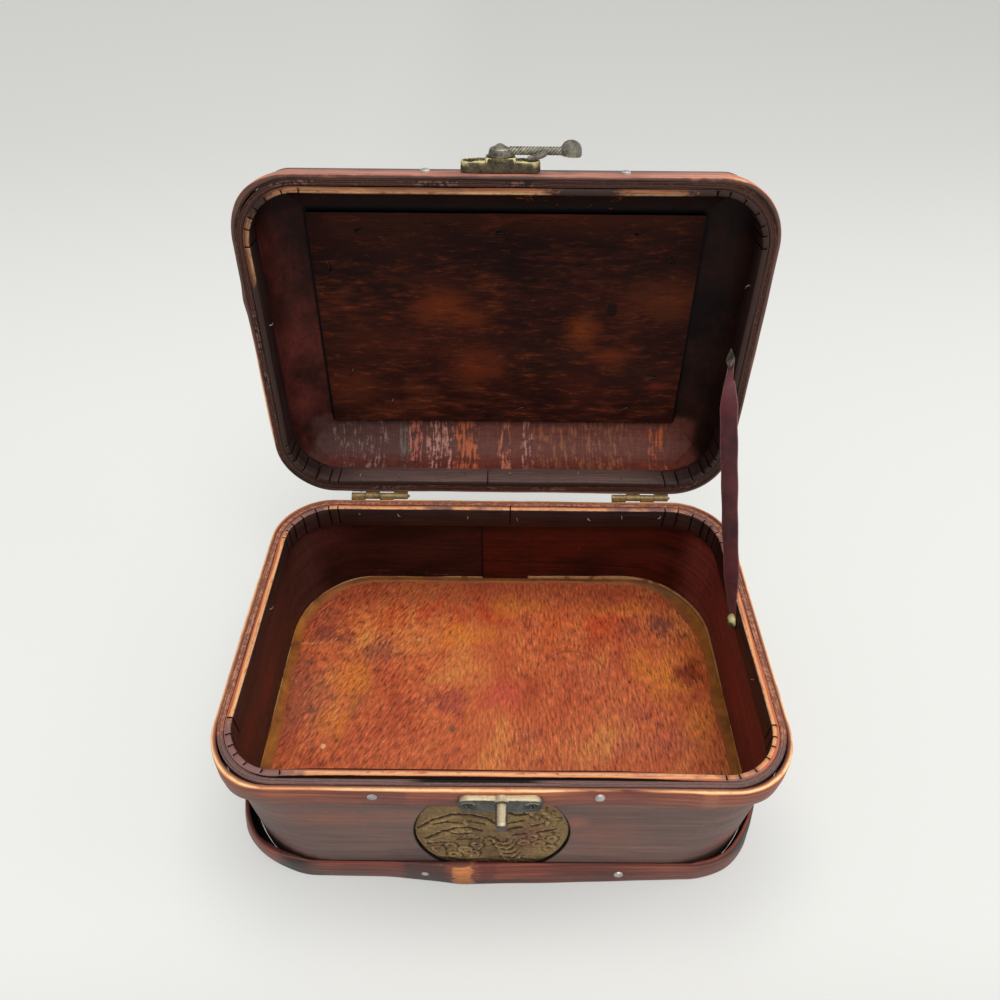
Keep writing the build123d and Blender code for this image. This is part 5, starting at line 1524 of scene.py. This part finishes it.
def bent_point(length):
    """A tapered wire that comes out of the wood and bends over sideways."""
    shares = [count / POINT_LEVELS for count in range(POINT_LEVELS + 1)]
    point = turned("nail_point", [(POINT_RADIUS * (1 - 0.75 * share ** 2), length * share)
                                  for share in shares], 12)
    points = points_of(point)
    turn = math.radians(POINT_BEND)
    past = points[:, 2] - STRAIGHT_PART
    along = np.clip(past / (BEND_RADIUS * turn), 0, 1) * turn
    rest = np.maximum(past - BEND_RADIUS * turn, 0)
    out = BEND_RADIUS * (1 - np.cos(along)) + rest * math.sin(turn)
    up = (np.minimum(points[:, 2], STRAIGHT_PART) + BEND_RADIUS * np.sin(along)
          + rest * math.cos(turn))
    set_points(point, np.column_stack([points[:, 0] * np.cos(along) + out, points[:, 1],
                                       up - points[:, 0] * np.sin(along)]))
    return point


def nails(name, body, node, heads, points, point_finish=dull_steel, length=2.4):
    """Heads and bent points of one row of nails, as one piece with two finishes."""
    row = copies(nail_head(), heads, name)
    head_faces = len(row.data.polygons)
    row = joined([row, copies(bent_point(length), points, name + "_points")], name)
    seat_cast(row, body, nail_steel, node, slot="nail_steel")
    row.data.materials.append(point_finish)
    for face in row.data.polygons[head_faces:]:
        face.material_index = 1


def inward(places, depth, first_turn, each_turn):
    """From outside nail places to where the points come out inside, each turned differently."""
    return [place @ place_mm(0, 0, -depth) @ turn_about("X", 180)
            @ turn_about("Z", first_turn + each_turn * count)
            for count, place in enumerate(places)]


# (side, along, height) for each nail; the panel's are (x, y, turn of the point)
UPPER_NAILS = [(0, -45.7, 65.0), (0, 34.7, 65.4), (2, 17.1, 65.0), (2, -6.8, 64.4),
               (2, -41.7, 64.6), (3, -9.9, 64.0), (1, -24.0, 64.4)]
LOWER_NAILS = [(0, -29.9, 7.4), (0, 47.4, 7.2), (2, 42.0, 7.3), (2, -36.0, 7.6), (3, -4.0, 7.4),
               (1, 4.0, 7.4)]
LID_NAILS = [(0, -31.0, 77.0), (0, 45.2, 76.6), (2, 18.7, 76.8), (2, -2.7, 76.2), (2, -36.7, 77.0),
             (3, 10.6, 76.4), (1, -30.0, 76.8)]
PANEL_NAILS = [(-77.6, -26.1, 95), (-72.8, 22.5, 240), (-54.8, 38.9, 250), (9.6, 42.7, 190),
               (61.4, 42.2, 200), (73.1, 25.4, 185), (73.6, -30.7, 130), (56.3, -42.7, 20),
               (-3.3, -43.0, 10), (-64.2, -43.3, 15)]
THROUGH_BAND, THROUGH_LEAF, IN_FLOOR = 6.7, 7.6, 1.0       # from a head to where its point shows
PANEL_TOP, PANEL_UNDER = 107.9, 101.3                      # its nails' heads and points

# `shown` counts the points that come out inside
for row, body, places, outline, shown, depth, *turns in (
        ("upper", "base", UPPER_NAILS, RIM_BAND, 7, THROUGH_BAND, 0, 40),
        ("lower", "base", LOWER_NAILS, FOOT_BAND, 1, IN_FLOOR, 0, 0),
        ("lid", "lid", LID_NAILS, RIM_BAND, 7, THROUGH_BAND, 20, 55)):
    heads = [on_face(side, along, z, outline[1 if side in (0, 2) else 0] / 2)
             for side, along, z in places]
    nails(row + "_nails", body, row + "_band_nails", heads, inward(heads[:shown], depth, *turns))
nails("panel_nails", "lid", "lid_panel_nails",
      [place_mm(x, y, PANEL_TOP) for x, y, _ in PANEL_NAILS],
      [place_mm(x, y, PANEL_UNDER) @ turn_about("X", 180) @ turn_about("Z", turn)
       for x, y, turn in PANEL_NAILS], point_steel, 5.2)

# %% [markdown]
# The hinges keep their plain solids, whose leaves and knuckles are already right, and only take
# an aged brass finish. Each leaf is nailed through the band with two of the same nails.

# %% Hinges and their nails
for side in ("left", "right"):
    for part in ("base_leaf", "lid_leaf", "pin"):
        dress(f"hinge_{side}_{part}", hinge_brass)
LEAF_FRONT = 74.9                        # the leaves' outer face, behind the box's middle
for body, height in (("base", 66.4), ("lid", 74.0)):
    places = [on_face(2, along, height, LEAF_FRONT) for along in (-76.8, -58.0, 51.2, 70.0)]
    nails(body + "_leaf_nails", body, "hinge_" + body + "_nails", places,
          inward(places, THROUGH_LEAF, 20, 70))

# %% [markdown]
# A satin ribbon stops the lid. It is cut 10 mm wide and 118 mm long, its ends are folded
# under the two tacks, though only the upper fold is modelled, and the weight of the lid stretches
# it. Both ends lie flat on the liners, and between them it twists to show its face.

# %% Ribbon
def satin_finish():
    paint = Finish("satin_maroon")
    along, across, _ = paint.parts("ribbon")
    ribs = paint.cloud((1800, 90, 1), 3, 0.6, "ribbon")
    broad = paint.cloud((60, 60, 1), 3, 0.6, "ribbon")
    colour = paint.ramp(broad, (0.38, (58, 18, 22)), (0.6, (92, 34, 38)))
    edge = (across.size() - 0.00415).rise(-0.0004, 0.0002)
    colour = colour.lay(edge * 0.55, (138, 86, 84))
    # painted sheen: the upper stretch of the satin is drawn paler pink
    painted_sheen_top = along.rise(0.092, 0.108) * along.rise(0.1125, 0.1095)
    colour = colour.lay(painted_sheen_top * 0.6, (150, 92, 96))
    end = along.rise(0.107, 0.110) * (across.size() - 0.0036).rise(-0.0008, 0.0004)
    colour = colour.lay(end * 0.8, (190, 162, 156))
    colour = colour.shade(0.5 + ribs * 1.0)
    return paint.finish(colour, ribs, 0.08, 0.42, 0.45, **{"Sheen Weight": 0.15})


RIBBON_BOTTOM, RIBBON_TOP = Vector((101.0, 8.0, 61.0)), Vector((101.0, 91.6, 140.0))
ribbon = fresh(bpy.ops.mesh.primitive_grid_add, "ribbon_satin", x_subdivisions=160,
               y_subdivisions=12, size=2.0)
grid = points_of(ribbon) * MM
share = (grid[:, 0] + 1) / 2 * 1.026                  # 3 mm past the upper tack
side = grid[:, 1]
path = [RIBBON_BOTTOM.lerp(RIBBON_TOP, value) for value in share]
centre_x = np.interp(share, (0, 0.08, 0.19, 0.35, 0.54, 0.73, 0.85, 0.92, 0.98, 1.03),
                     (100.8, 100.2, 100.1, 99.6, 99.6, 99.5, 99.7, 100.0, 100.7, 100.8))
twist = np.radians(np.interp(share, (0, 0.06, 0.16, 0.35, 0.6, 0.75, 0.9, 0.97, 1),
                             (0, 12, 30, 36, 42, 46, 44, 14, 0)))
half = np.interp(share, (0, 0.05, 0.12, 0.82, 0.92, 0.955, 1.0, 1.026),
                 (2.6, 3.2, 4.1, 4.2, 2.7, 2.4, 3.4, 0.4))
run_way = (RIBBON_TOP - RIBBON_BOTTOM).normalized()
lie_way = Vector((0, run_way.z, -run_way.y))          # across the ribbon, flat on the liner
curl = 0.25 * (1 - side ** 2) + 0.12 * np.sin(share * 40) * side
spread_y = side * half * np.cos(twist)
spread_x = -side * half * np.sin(twist)
points = np.array([[p.x, p.y, p.z] for p in path])
points[:, 0] = centre_x + spread_x - curl
fold = np.interp(share, (0.93, 1.0), (0, 1.2))        # the end is folded towards the rim
points[:, 1] += (spread_y - fold) * lie_way.y
points[:, 2] += (spread_y - fold) * lie_way.z
set_points(ribbon, points)
loops = loop_points(ribbon)
add_map(ribbon, "ribbon", np.column_stack([share[loops] * 0.115, side[loops] * 0.0044]))
apply_modifier(ribbon, "SOLIDIFY", thickness=0.0004, offset=0.0)
smooth(ribbon, 60)
ribbon.data.materials.append(satin_finish())
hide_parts("ribbon_stay")
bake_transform(ribbon)
print(ribbon.name, "faces", len(ribbon.data.polygons))

# %% [markdown]
# Two tacks hold the ribbon: a domed one on the base's liner and a four-sided one on the lid's.
# The second is the same kind of turned piece with only four points round it. It is placed where
# the open lid has it, so it isn't swung again.

# %% Ribbon tacks
def into_box(place):
    """A tack's place on the liner, its own Z pointing left, into the box."""
    return place_mm(TACK_X, place.y, place.z) @ turn_about("Y", -90)


TACK_X = 100.7
dome_tack = turned("tack_dome", [(0.9, -3.0), (0.9, -0.3), (3.2, -0.1), (3.4, 0.3), (3.1, 1.3),
                                 (2.2, 2.3), (1.1, 2.8), (0.01, 2.9)], 36)
# `lit` paints the dome's top lighter, as painted light
seat_cast(put(dome_tack, into_box(RIBBON_BOTTOM)), "base", bronze, "ribbon_tack_base",
          spread=1.2, lit=0.8)
pyramid = turned("tack_pyramid", [(0.9, -3.0), (0.9, -0.3), (3.0, -0.1), (3.0, 0.3), (1.9, 1.1),
                                  (0.8, 1.9), (0.01, 2.2)], 4)
put(pyramid, into_box(RIBBON_TOP) @ Matrix.Diagonal((1.9, 1.5, 1, 1)) @ turn_about("Z", 45))
seat_cast(pyramid, "lid", hook_bronze, "ribbon_tack_lid", None, 0.8, closed=False)
